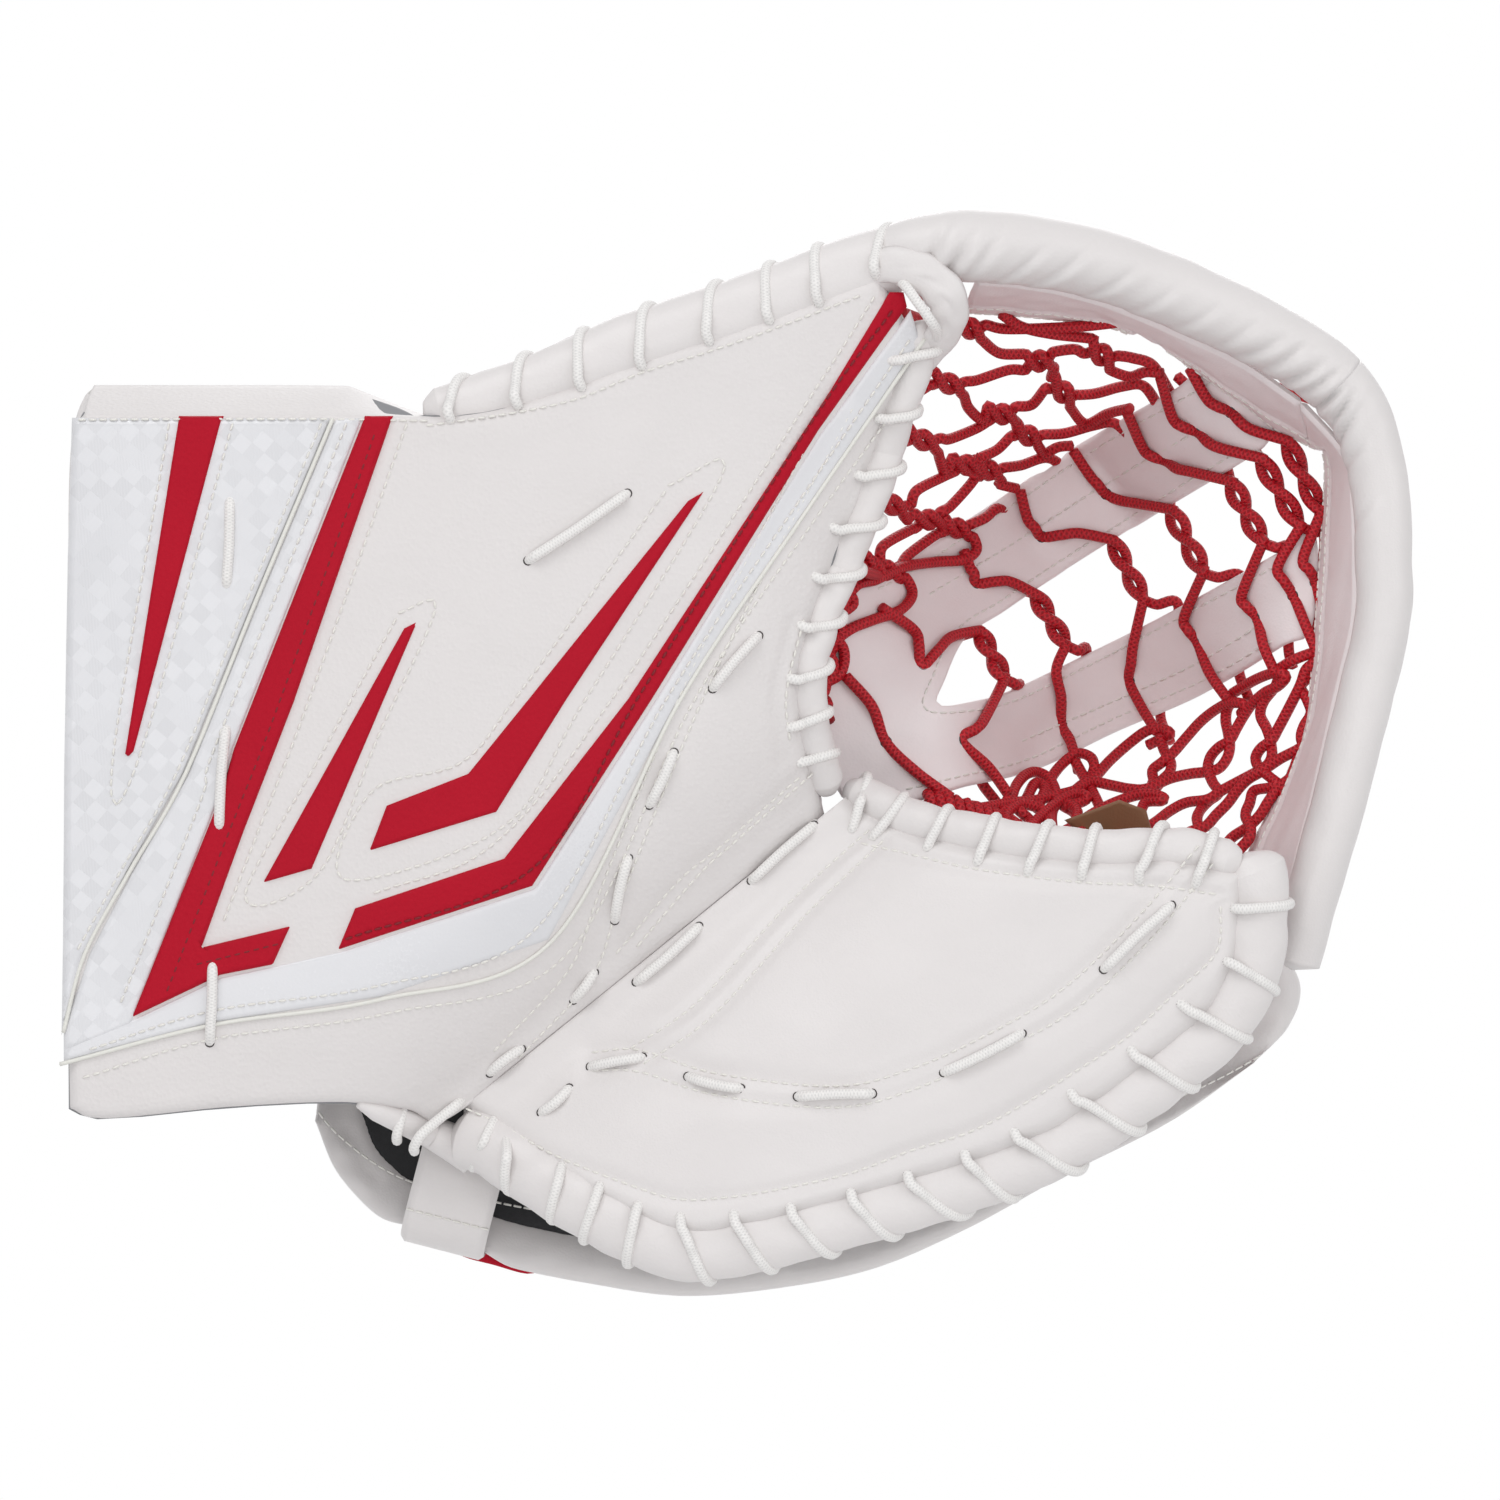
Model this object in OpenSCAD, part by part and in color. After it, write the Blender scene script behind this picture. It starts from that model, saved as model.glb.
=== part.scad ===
// Goalie catch glove: a laced thumb board and finger board that close about a
// diagonal break, with a corded pocket on two T straps and a padded rim tube.
// X runs from the wrist to the rim, Z up to the thumb, Y away from the shooter.

/* [Overall] */
// Length from the open end of the cuff to the rim
glove_length = 380; // [316:1:460]
// Width of the cuff's open end, heel to thumb edge
cuff_width = 200; // [166:1:240]
// How far the pocket hangs behind its rim
pocket_depth = 56; // [40:0.1:70]

/* [Boards] */
// Thickness of the thumb and cuff board
thumb_board_t = 22; // [16:0.1:27]
// Thickness of the finger board
finger_board_t = 18; // [14:1:22]
// Thickness of the leather on the catching faces
leather_t = 2.4; // [1.6:0.2:3.2]
// Thickness of the plastic stiffener in each board
stiffener_t = 2; // [1.2:0.2:3]
// Thickness of the brushed lining on the hand side
lining_t = 1.6; // [1:0.2:2.4]
// Half of the gap between the two boards at the break
break_gap = 4.5; // [3.5:0.5:6]
// How much higher the cuff's hand side stands than its face
cuff_lean = 10; // [0:1:12]

/* [Edges] */
// Radius of the laced roll on the outer edges
edge_roll_r = 6.5; // [4.5:0.1:8]
// Radius of the laced roll round the pocket mouth
mouth_roll_r = 4; // [3:0.5:5]
// Radius of the white lace
lace_r = 1.7; // [1.2:0.1:2]
// Clearance between a roll and what lies against it
seat_gap = 0.5; // [0.3:0.1:0.8]

/* [Rim tube] */
// Radius of the rim tube along the top
top_tube_r = 10.5; // [8:0.5:11]
// Radius of the rim tube down the side
side_tube_r = 7.5; // [6:0.5:8.5]
// Radius of the plastic rod inside the rim tube
tube_core_r = 4; // [2.5:0.5:5]
// Thickness of the skirts, straps and net shell
web_t = 2.6; // [1.8:0.2:3.4]

/* [Back of the hand] */
// Thickness of the back pad
pad_t = 14; // [10:1:16]
// Depth of the hand space behind the boards, at the wrist
hand_space = 52; // [44:1:60]
// Thickness of the straps
strap_t = 2.5; // [1.8:0.1:3]
// Width of the wrist strap
wrist_strap_w = 38; // [30:1:42]
// Width of the loop that holds the hand strap
loop_w = 31; // [24:1:34]

/* [Hidden] */
$fn = 32;

// The outlines below are drawn for a 380 mm glove with a 200 mm cuff.
stretch_x = glove_length / 380;
stretch_z = cuff_width / 200;
function sized(points) = [for (p = points) [p[0] * stretch_x, p[1] * stretch_z]];
function placed(points) = [for (p = points) [p[0] * stretch_x, p[1], p[2] * stretch_z]];

// The break: a straight fold from the heel to the rim's corner.
break_heel = [107 * stretch_x, -101 * stretch_z];
rim_corner_at = [366 * stretch_x, 108.6 * stretch_z];
break_run = rim_corner_at - break_heel;
break_angle = atan2(break_run[1], break_run[0]);
break_y = -24;

// Catching faces: how each board comes forward from the break.
thumb_rise = 30;
thumb_fall = 25;
finger_rise = 34;
crest_at = 79;
crest_droop = 8;
droop_reach = 50;
mouth_mid = [288 * stretch_x, 51 * stretch_z];
mouth_r = 70;
mouth_dip = 14;
mouth_dip_reach = 18;

// Board outlines as [x, z], each from left to right or from bottom to top.
cuff_end = sized([[2, -97], [2, -30], [2, 40], [3, 90], [7, 100]]);
thumb_top = sized([[7, 100], [60, 100], [108, 100], [134, 105], [164, 116], [197, 127], [231, 140]]);
thumb_mouth = sized([[216, -7], [210, 12], [209, 28], [213, 44], [220, 62], [228, 82], [234, 102], [240, 122],
    [231, 140]]);
thumb_heel = sized([[2, -97], [12, -100], [47, -97], [77, -96]]);
finger_mouth = sized([[222, -14], [240, -17], [257, -21], [276, -24], [296, -25.5], [315, -25], [333, -29]]);
finger_tip = sized([[332, -54], [333, -42], [333, -29]]);
finger_outer = sized([[114, -101], [124, -105], [136, -112], [150, -120], [164, -127], [178, -131], [197, -128],
    [220, -122], [248, -114], [276, -104], [293, -94], [310, -81], [324, -69], [332, -54]]);

// Back pad outline, and how its front face lies behind the hand.
pad_outer = sized([[66, -104], [74, -121], [92, -137], [120, -146], [150, -152], [174, -155], [200, -153],
    [230, -147], [258, -135], [287, -119], [318, -103], [342, -86]]);
pad_tip = sized([[342, -86], [353, -76], [357, -64], [350, -50]]);
pad_inner = sized([[80, -72], [110, -50], [150, -30], [190, -26], [230, -38], [270, -46], [310, -48], [350, -50]]);
pad_wrist = sized([[66, -104], [68, -86], [80, -72]]);
pad_wrist_y = break_y + hand_space;
pad_taper = 16;
pad_wrap = 14;

// Rim, straps and net as [x, y, z].
function at_tip(by) = [231 * stretch_x + by[0], by[1], 140 * stretch_z + by[2]];
function at_corner(by) = [rim_corner_at[0] + by[0], break_y + by[1], rim_corner_at[1] + by[2]];
top_tube_line = concat([at_tip([21, -46, 8.5]), at_tip([39, -43, 8])], placed([[296, -37, 143.5],
    [322, -31, 134], [341, -27, 124.5]]), [at_corner([-9.5, -0.5, 5.9])]);
side_tube_line = concat([at_corner([4.5, -0.5, -10.1])], placed([[374.5, -26.5, 81], [376, -29, 62],
    [375.5, -31, 42], [371, -32, 14], [365, -32, -14], [358, -31, -37], [353, -29, -56]]));
top_skirt_rear = placed([[257, 4, 133], [276, 5, 130], [297, 6, 124], [317, 8, 116], [340, 10, 102]]);
side_skirt_rear = placed([[357, 12, 84], [359, 12, 69], [358, 12, 43], [353, 12, 19], [347, 10, -4],
    [339, 6, -22]]);
corner_skirt_rear = placed([[344, 12, 97], [347.5, 12, 93.5], [351, 12, 90]]);

rim_rear_y = 12;
function hung(points) = [for (p = points) [p[0] * stretch_x, rim_rear_y + p[1] * pocket_depth, p[2] * stretch_z]];
upper_strap_top = hung([[228, 0.02, 50], [242, 0.45, 62], [269, 0.84, 80], [297, 0.9, 99], [319, 0.08, 111]]);
upper_strap_low = hung([[243, 0.1, 28], [258, 0.52, 39], [286, 0.92, 58], [313, 0.94, 75], [339, 0.08, 90]]);
lower_strap_top = hung([[255, 0.1, 19], [276, 0.68, 24], [300, 0.92, 36], [324, 0.76, 49], [350, 0.04, 64]]);
lower_strap_low = hung([[258, 0.02, -4], [280, 0.7, 0], [306, 0.94, 12], [331, 0.7, 23], [351, 0.04, 37]]);
base_left = placed([[232, 6, -9], [217, 3, 12], [217, 5, 42]]);
base_right = placed([[255, 12, -4], [249, 14, 21], [226, 11, 46]]);
strap_clear = 2.4;

// Places along each edge where the lace goes over.
thumb_lace_count = 9;
mouth_lace_count = 9;
finger_mouth_lace_count = 8;
finger_edge_lace_count = 17;
lace_slant = 18;
lace_wrap = 270;

// Curves and surfaces

function lerp(a, b, t) = a + (b - a) * t;
function last(list) = list[len(list) - 1];
function unit(v) = v / norm(v);

// A point on the smooth curve through points, s from 0 to 1.
function on(points, s) =
    let (
        n = len(points) - 1,
        k = min(n - 1, floor(s * n)),
        t = s * n - k,
        b = points[k],
        c = points[k + 1],
        a = k > 0 ? points[k - 1] : 2 * b - c,
        d = k + 2 <= n ? points[k + 2] : 2 * c - b
    )
    b + 0.5 * ((c - a) * t + (2 * a - 5 * b + 4 * c - d) * t * t + (3 * b - a - 3 * c + d) * t * t * t);
function heading(points, s) = unit(on(points, min(s + 0.01, 1)) - on(points, max(s - 0.01, 0)));

// The surface that fills four edge curves.
function filled(left, right, low, high, u, v) =
    lerp(on(low, u), on(high, u), v) + lerp(on(left, v), on(right, v), u)
    - lerp(lerp(low[0], last(low), u), lerp(high[0], last(high), u), v);
function sheet(left, right, low, high, nu, nv) =
    [for (j = [0:nv]) [for (i = [0:nu]) filled(left, right, low, high, i / nu, j / nv)]];

// Distance from the break in the face plane, positive on the finger side.
function across(p) =
    (p[0] - break_heel[0]) * sin(break_angle) - (p[1] - break_heel[1]) * cos(break_angle);
function thumb_face_y(p) =
    break_y - thumb_rise * (1 - exp(min(across(p), 0) / thumb_fall))
    + mouth_dip * exp(-max(norm(p - mouth_mid) - mouth_r, 0) / mouth_dip_reach);
function finger_face_y(p) =
    let (u = max(across(p), 0))
    break_y - finger_rise * sin(90 * min(u / crest_at, 1))
    + crest_droop * pow(max(u - crest_at, 0) / droop_reach, 1.5);

// The cuff leans: its hand side is higher than its face, as far as the start of the thumb's rolled edge.
lean_from = 80;
lean_to = 106;
function leant(p, depth) =
    cuff_lean * depth / thumb_board_t * min(max((lean_to * stretch_x - p[0]) / (lean_to - lean_from), 0), 1);
// Moves a grid of [x, z] points onto a face, set back by depth.
function on_thumb(grid, depth) =
    [for (row = grid) [for (p = row) [p[0], thumb_face_y(p) + depth, p[1] + leant(p, depth)]]];
function on_finger(grid, depth) = [for (row = grid) [for (p = row) [p[0], finger_face_y(p) + depth, p[1]]]];
// Moves a grid of [x, y, z] points away from the middle of the pocket mouth.
function outward(grid, depth) =
    [for (row = grid) [for (p = row) p + depth * unit(p - [mouth_mid[0], break_y, mouth_mid[1]])]];

// A closed solid between two grids of points that have the same shape.
module between(front, back) {
    rows = len(front);
    columns = len(front[0]);
    back_start = rows * columns;
    function at(j, i) = j * columns + i;
    polyhedron(
        points = concat([for (row = front) for (p = row) p], [for (row = back) for (p = row) p]),
        faces = concat(
            [for (j = [0:rows - 2]) for (i = [0:columns - 2]) for (k = [0, 1])
                k == 0 ? [at(j, i), at(j + 1, i), at(j + 1, i + 1)] : [at(j, i), at(j + 1, i + 1), at(j, i + 1)]],
            [for (j = [0:rows - 2]) for (i = [0:columns - 2]) for (k = [0, 1])
                k == 0 ? [back_start + at(j, i), back_start + at(j + 1, i + 1), back_start + at(j + 1, i)]
                       : [back_start + at(j, i), back_start + at(j, i + 1), back_start + at(j + 1, i + 1)]],
            [for (i = [0:columns - 2]) for (k = [0, 1]) for (side = [0, 1])
                let (
                    j = side * (rows - 1),
                    a = at(j, side == 0 ? i : i + 1),
                    b = at(j, side == 0 ? i + 1 : i)
                )
                k == 0 ? [a, b, back_start + b] : [a, back_start + b, back_start + a]],
            [for (j = [0:rows - 2]) for (k = [0, 1]) for (side = [0, 1])
                let (
                    i = side * (columns - 1),
                    a = at(side == 0 ? j + 1 : j, i),
                    b = at(side == 0 ? j : j + 1, i)
                )
                k == 0 ? [a, b, back_start + b] : [a, back_start + b, back_start + a]]
        ),
        convexity = 6
    );
}

// A round tube along a line of points, whose radius goes from r1 to r2.
module tube(line, rings, r1, r2, sides = 12) {
    at = [for (k = [0:rings]) on(line, k / rings)];
    sideways = [for (k = [0:rings]) unit(cross(heading(line, k / rings), [0, 1, 0]))];
    upward = [for (k = [0:rings]) cross(sideways[k], heading(line, k / rings))];
    skin = [for (k = [0:rings]) for (j = [0:sides - 1])
        at[k] + lerp(r1, r2, k / rings) * (cos(360 * j / sides) * sideways[k] + sin(360 * j / sides) * upward[k])];
    polyhedron(
        points = skin,
        faces = concat(
            [[for (j = [0:sides - 1]) sides - 1 - j]],
            [for (k = [0:rings - 1]) for (j = [0:sides - 1]) for (half = [0, 1])
                let (a = k * sides + j, b = k * sides + (j + 1) % sides)
                half == 0 ? [a, b, b + sides] : [a, b + sides, a + sides]],
            [[for (j = [0:sides - 1]) rings * sides + j]]
        ),
        convexity = 4
    );
}

// Board outlines

// The edge of a board along the break, gap away from the fold.
function along_break(x, gap) =
    [x, break_heel[1] + (x - break_heel[0]) * tan(break_angle) - gap / cos(break_angle)];
thumb_break = [for (x = [108, 135, 162, 189, 216]) along_break(x * stretch_x, -break_gap)];
finger_break = [for (x = [114, 141, 168, 195, 222]) along_break(x * stretch_x, break_gap)];
thumb_low = concat(thumb_heel, sized([[96, -98]]), thumb_break);
thumb_right = concat([last(thumb_break)], [for (k = [1:len(thumb_mouth) - 1]) thumb_mouth[k]]);
finger_low = concat([finger_break[0]], [for (k = [1:len(finger_outer) - 1]) finger_outer[k]]);
finger_high = concat([last(finger_break)], [for (k = [1:len(finger_mouth) - 1]) finger_mouth[k]]);

thumb_grid = sheet(cuff_end, thumb_right, thumb_low, thumb_top, 20, 9);
finger_grid = sheet(finger_break, finger_tip, finger_low, finger_high, 18, 8);

// One layer of a board, from depth a to depth b behind its face.
module thumb_layer(a, b) between(on_thumb(thumb_grid, a), on_thumb(thumb_grid, b));
module finger_layer(a, b) between(on_finger(finger_grid, a), on_finger(finger_grid, b));

thumb_plate_at = thumb_board_t - lining_t - stiffener_t;
finger_plate_at = finger_board_t - lining_t - stiffener_t;

module thumb_face_cover() { color("white") thumb_layer(0, leather_t); }
module thumb_foam() { color("gold") thumb_layer(leather_t, thumb_plate_at); }
module thumb_stiffener() { color("gray") thumb_layer(thumb_plate_at, thumb_plate_at + stiffener_t); }
module thumb_lining() { color("black") thumb_layer(thumb_board_t - lining_t, thumb_board_t); }
module finger_face_cover() { color("white") finger_layer(0, leather_t); }
module finger_foam() { color("gold") finger_layer(leather_t, finger_plate_at); }
module finger_stiffener() { color("gray") finger_layer(finger_plate_at, finger_plate_at + stiffener_t); }
module finger_lining() { color("black") finger_layer(finger_board_t - lining_t, finger_board_t); }

// Thin pieces sewn on the thumb face. Each strip has two side lines, as [x, z].
overlay_t = 1.4;
inlay_t = 0.8;
module face_strip(line_a, line_b, nu, nv, depth, t) {
    grid = sheet([line_a[0], line_b[0]], [last(line_a), last(line_b)], line_a, line_b, nu, nv);
    between(on_thumb(grid, depth - t), on_thumb(grid, depth));
}
cuff_overlay_outer = sized([[4, -60], [4, -10], [4, 45], [8, 98]]);
cuff_overlay_inner = sized([[7, -58], [38, -5], [60, 50], [74, 98]]);
module cuff_overlay() {
    color("aliceblue") face_strip(cuff_overlay_inner, cuff_overlay_outer, 8, 6, 0, overlay_t);
}

// Red panels: left side line, right side line, and how far each stands off the face.
red_strips = [
    [sized([[20, 3], [36, 99]]), sized([[26, 6], [47, 99]]), overlay_t],
    [sized([[24, -68], [50, -10], [68, 38], [87, 99]]), sized([[42, -49], [62, -4], [78, 42], [95, 99]]), 0],
    [sized([[60, -31], [78, 5], [100, 39]]), sized([[73, -27], [88, 10], [102, 42]]), 0],
    [sized([[88, -9], [114, -1], [124, 4], [148, 36], [177, 74]]),
     sized([[88, -22], [114, -10], [126, -8], [152, 28], [179, 72]]), 0],
    [sized([[82, -39], [127, -25], [136, -21], [181, 48], [219, 104], [234, 133]]),
     sized([[82, -49], [128, -34], [139, -30], [188, 44], [226, 97], [241, 122]]), 0]
];
module red_inlays() {
    color("crimson") for (strip = red_strips)
        face_strip(strip[1], strip[0], 14, 2, -strip[2], inlay_t);
}

// Rolled edges and the lace that goes over them

// The middle of a roll beside an edge. side is 1 for the left of the edge's run and -1 for its right.
function beside(edge, s, off, side) =
    let (h = heading(edge, s)) on(edge, s) + side * off * [-h[1], h[0]];
function roll_line(edge, s0, s1, r, side, face) =
    [for (k = [0:12]) let (s = lerp(s0, s1, k / 12), p = beside(edge, s, r + seat_gap, side)) [p[0], face[k], p[1]]];
function thumb_mid_y(edge, s) = thumb_face_y(on(edge, s)) + thumb_board_t / 2;
function finger_mid_y(edge, s) = finger_face_y(on(edge, s)) + finger_board_t / 2;
function thumb_depths(edge, s0, s1) = [for (k = [0:12]) thumb_mid_y(edge, lerp(s0, s1, k / 12))];
function finger_depths(edge, s0, s1) = [for (k = [0:12]) finger_mid_y(edge, lerp(s0, s1, k / 12))];

// One turn of lace over a roll, open towards the board.
module lace_turn(edge, s, y, r, side) {
    p = beside(edge, s, r + seat_gap, side);
    h = heading(edge, s);
    translate([p[0], y, p[1]])
        rotate([0, -atan2(h[1], h[0]), 0])
            rotate([0, lace_slant, 0])
                rotate([0, 90, 0])
                    rotate([0, 0, side > 0 ? 45 : 225])
                        rotate_extrude(angle = lace_wrap)
                            translate([r + lace_r + seat_gap, 0])
                                circle(r = lace_r, $fn = 24);
}
function lace_at(k, count, s0, s1) = lerp(s0, s1, (k + 0.5) / count);

thumb_roll_from = 0.345;
thumb_roll_to = 0.97;
mouth_roll_from = 0.06;
mouth_roll_to = 0.86;
finger_mouth_from = 0.03;
finger_mouth_to = 0.93;
finger_edge_from = 0.02;
finger_edge_to = 0.985;

module thumb_edge_roll() {
    line = roll_line(thumb_top, thumb_roll_from, thumb_roll_to, edge_roll_r, 1,
        thumb_depths(thumb_top, thumb_roll_from, thumb_roll_to));
    color("ivory") tube(line, 18, edge_roll_r, edge_roll_r);
}
module thumb_edge_lacing() {
    color("white") for (k = [0:thumb_lace_count - 1]) {
        s = lace_at(k, thumb_lace_count, thumb_roll_from, thumb_roll_to);
        lace_turn(thumb_top, s, thumb_mid_y(thumb_top, s), edge_roll_r, 1);
    }
}
module thumb_mouth_roll() {
    line = roll_line(thumb_right, mouth_roll_from, mouth_roll_to, mouth_roll_r, -1,
        thumb_depths(thumb_right, mouth_roll_from, mouth_roll_to));
    color("ivory") tube(line, 18, mouth_roll_r, mouth_roll_r);
}
module thumb_mouth_lacing() {
    color("white") for (k = [0:mouth_lace_count - 1]) {
        s = lace_at(k, mouth_lace_count, mouth_roll_from, mouth_roll_to);
        lace_turn(thumb_right, s, thumb_mid_y(thumb_right, s), mouth_roll_r, -1);
    }
}
module finger_mouth_roll() {
    line = roll_line(finger_high, finger_mouth_from, finger_mouth_to, mouth_roll_r, 1,
        finger_depths(finger_high, finger_mouth_from, finger_mouth_to));
    color("ivory") tube(line, 18, mouth_roll_r, mouth_roll_r);
}
module finger_mouth_lacing() {
    color("white") for (k = [0:finger_mouth_lace_count - 1]) {
        s = lace_at(k, finger_mouth_lace_count, finger_mouth_from, finger_mouth_to);
        lace_turn(finger_high, s, finger_mid_y(finger_high, s), mouth_roll_r, 1);
    }
}
module finger_edge_roll() {
    line = roll_line(finger_low, finger_edge_from, finger_edge_to, edge_roll_r, -1,
        finger_depths(finger_low, finger_edge_from, finger_edge_to));
    color("ivory") tube(line, 30, edge_roll_r, edge_roll_r);
}
module finger_edge_lacing() {
    color("white") for (k = [0:finger_edge_lace_count - 1]) {
        s = lace_at(k, finger_edge_lace_count, finger_edge_from, finger_edge_to);
        lace_turn(finger_low, s, finger_mid_y(finger_low, s), edge_roll_r, -1);
    }
}

// Straight runs of lace on the faces, each from one [x, z] to another.
module lace_run(a, ya, b, yb) {
    start = [a[0], ya, a[1]];
    run = [b[0], yb, b[1]] - start;
    translate(start)
        rotate([0, acos(run[2] / norm(run)), atan2(run[1], run[0])])
            cylinder(r = lace_r, h = norm(run), $fn = 24);
}
face_lace_lift = lace_r + 1.2;
thumb_lace_runs = [
    [[49, 76], [50, 51]], [[49, 10], [48, -14]], [[44, -54], [44, -77]], [[132, 59], [158, 78]],
    [[185, 22], [197, 37]], [[171, -2], [178, 13]], [[161, -32], [166, -15]],
    [[136, -62], [144, -49]]
];
finger_lace_runs = [
    [[137, -92], [145, -83]], [[151, -84], [164, -80]], [[177, -85], [191, -88]], [[208, -91], [225, -89]],
    [[249, -83], [270, -73]], [[295, -53], [310, -37]]
];
module thumb_face_laces() {
    color("white") for (r = thumb_lace_runs) {
        a = sized([r[0]])[0];
        b = sized([r[1]])[0];
        lace_run(a, thumb_face_y(a) - face_lace_lift, b, thumb_face_y(b) - face_lace_lift);
    }
}
module finger_face_laces() {
    color("white") for (r = finger_lace_runs) {
        a = sized([r[0]])[0];
        b = sized([r[1]])[0];
        lace_run(a, finger_face_y(a) - face_lace_lift, b, finger_face_y(b) - face_lace_lift);
    }
}

// Leather that closes the break, sewn to the thumb board's edge.
fold_setback = 3;
fold_t = 3;
module palm_fold() {
    low = [for (x = [112, 138, 164, 190, 214]) along_break(x * stretch_x, break_gap - 1)];
    high = [for (x = [112, 138, 164, 190, 214]) along_break(x * stretch_x, -break_gap + 0.2)];
    grid = sheet([low[0], high[0]], [last(low), last(high)], low, high, 8, 1);
    color("whitesmoke") between(
        [for (row = grid) [for (p = row) [p[0], break_y + fold_setback, p[1]]]],
        [for (row = grid) [for (p = row) [p[0], break_y + fold_setback + fold_t, p[1]]]]);
}

// Rim tube, its rod, and the skirts that carry the net

top_tube_end_r = 9.5;
module top_tube_cover() { color("white") tube_cover(top_tube_line, 14, top_tube_r, top_tube_end_r); }
module top_tube_core() { color("gray") tube(top_tube_line, 12, tube_core_r, tube_core_r, 8); }
module side_tube_cover() { color("white") tube_cover(side_tube_line, 16, side_tube_r, side_tube_r); }
module side_tube_core() { color("gray") tube(side_tube_line, 12, tube_core_r, tube_core_r, 8); }
// A sleeve with a bore for the rod, as one closed skin.
module tube_cover(line, rings, r1, r2) {
    sides = 14;
    bore_r = tube_core_r + seat_gap;
    at = [for (k = [0:rings]) on(line, k / rings)];
    sideways = [for (k = [0:rings]) unit(cross(heading(line, k / rings), [0, 1, 0]))];
    upward = [for (k = [0:rings]) cross(sideways[k], heading(line, k / rings))];
    function ring(k, r) = [for (j = [0:sides - 1])
        at[k] + r * (cos(360 * j / sides) * sideways[k] + sin(360 * j / sides) * upward[k])];
    skin = concat([for (k = [0:rings]) each ring(k, lerp(r1, r2, k / rings))],
        [for (k = [0:rings]) each ring(rings - k, bore_r)]);
    loops = 2 * rings + 2;
    polyhedron(
        points = skin,
        faces = [for (k = [0:loops - 1]) for (j = [0:sides - 1]) for (half = [0, 1])
            let (
                m = (k + 1) % loops,
                a = k * sides + j,
                b = k * sides + (j + 1) % sides,
                c = m * sides + (j + 1) % sides,
                d = m * sides + j
            )
            half == 0 ? [a, b, c] : [a, c, d]],
        convexity = 6
    );
}

// Where a skirt is sewn on: along a tube, on its inner rear side.
function skirt_seam(line, r) = [for (p = line)
    let (inwards = unit([mouth_mid[0] - p[0], 0, mouth_mid[1] - p[2]]))
    p + (0.8 * r + web_t) * inwards + [0, 0.75 * r, 0]];
top_skirt_front = skirt_seam(top_tube_line, top_tube_r);
side_skirt_front = skirt_seam(side_tube_line, side_tube_r);
corner_gap = 1.8;
corner_skirt_front =
    let (a = last(top_skirt_front), b = side_skirt_front[0], way = corner_gap * unit(b - a))
    [a + way, (a + b) / 2, b - way];

// A band between two lines of points, thickened away from the pocket.
module band(front_line, rear_line, nu, nv, t) {
    grid = sheet([front_line[0], rear_line[0]], [last(front_line), last(rear_line)], front_line, rear_line, nu, nv);
    between(grid, outward(grid, t));
}
module top_skirt() { color("white") band(top_skirt_rear, top_skirt_front, 12, 2, web_t); }
module side_skirt() { color("white") band(side_skirt_front, side_skirt_rear, 14, 2, web_t); }
module corner_skirt() { color("white") band(corner_skirt_rear, corner_skirt_front, 2, 2, web_t); }
module rim_corner() {
    color("white") translate([rim_corner_at[0], break_y, rim_corner_at[1]]) sphere(r = top_tube_end_r);
}

// The cap sits on the end of the mouth roll.
tip_cap_r = 7;
module thumb_tip_cap() {
    roll_end = beside(thumb_right, mouth_roll_to, mouth_roll_r + seat_gap, -1);
    color("white") translate([roll_end[0], 0, roll_end[1]]) hull() {
        translate([7.5, -47, 9.7 * stretch_z]) sphere(r = tip_cap_r, $fn = 24);
        translate([7, -42, -1.3]) sphere(r = tip_cap_r - 1.5, $fn = 24);
        translate([7.5, -36, 4.7]) sphere(r = tip_cap_r - 1.5, $fn = 24);
    }
}

// T straps, the base they grow from, and the three nets

module upper_t_strap() { color("white") band(upper_strap_low, upper_strap_top, 14, 2, web_t); }
module lower_t_strap() { color("white") band(lower_strap_low, lower_strap_top, 14, 2, web_t); }
module pocket_base() {
    grid = sheet(base_left, base_right, [base_left[0], base_right[0]], [last(base_left), last(base_right)], 4, 6);
    color("white") between(grid, outward(grid, web_t));
}

// A net panel: the shell that its cords lie in, bellied outwards.
module net_panel(left, right, low, high, nu, nv, belly) {
    flat = sheet(left, right, low, high, nu, nv);
    grid = [for (j = [0:nv]) [for (i = [0:nu])
        let (p = flat[j][i], lift = belly * sin(180 * i / nu) * sin(180 * j / nv))
        p + lift * unit(p - [mouth_mid[0], break_y, mouth_mid[1]])]];
    between(grid, outward(grid, web_t));
}
function shifted(line, by) = [for (p = line) p + by];
module net_top() {
    low = shifted(upper_strap_top, [-1.5, 0, strap_clear]);
    left = concat([low[0]], placed([[224, 2, 68], [232, 0, 88], [240, -2, 108], [251, 2, 126]]));
    high = concat([last(left)], placed([[276, 6, 126], [297, 8, 120], [314, 11, 114.5]]));
    color("red") net_panel(left, [last(low), last(high)], low, high, 12, 6, 9);
}
module net_middle() {
    high = shifted(upper_strap_low, [2, 0, -strap_clear]);
    low = shifted(lower_strap_top, [-1, 0, strap_clear]);
    color("red") net_panel([low[0], high[0]], [last(low), last(high)], low, high, 12, 4, 2);
}
module net_side() {
    high = shifted(lower_strap_low, [0.5, 0, -strap_clear]);
    low = placed([[238, 2, -16], [262, 3, -21], [285, 3, -24], [310, 3, -25], [331, 3, -24]]);
    right = concat([last(low)], placed([[340, 9, -6], [346, 12, 14]]), [last(high)]);
    color("red") net_panel([low[0], high[0]], right, low, high, 12, 6, 9);
}

// Hand side of the thumb board: the stall for the thumb and its guard

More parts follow.
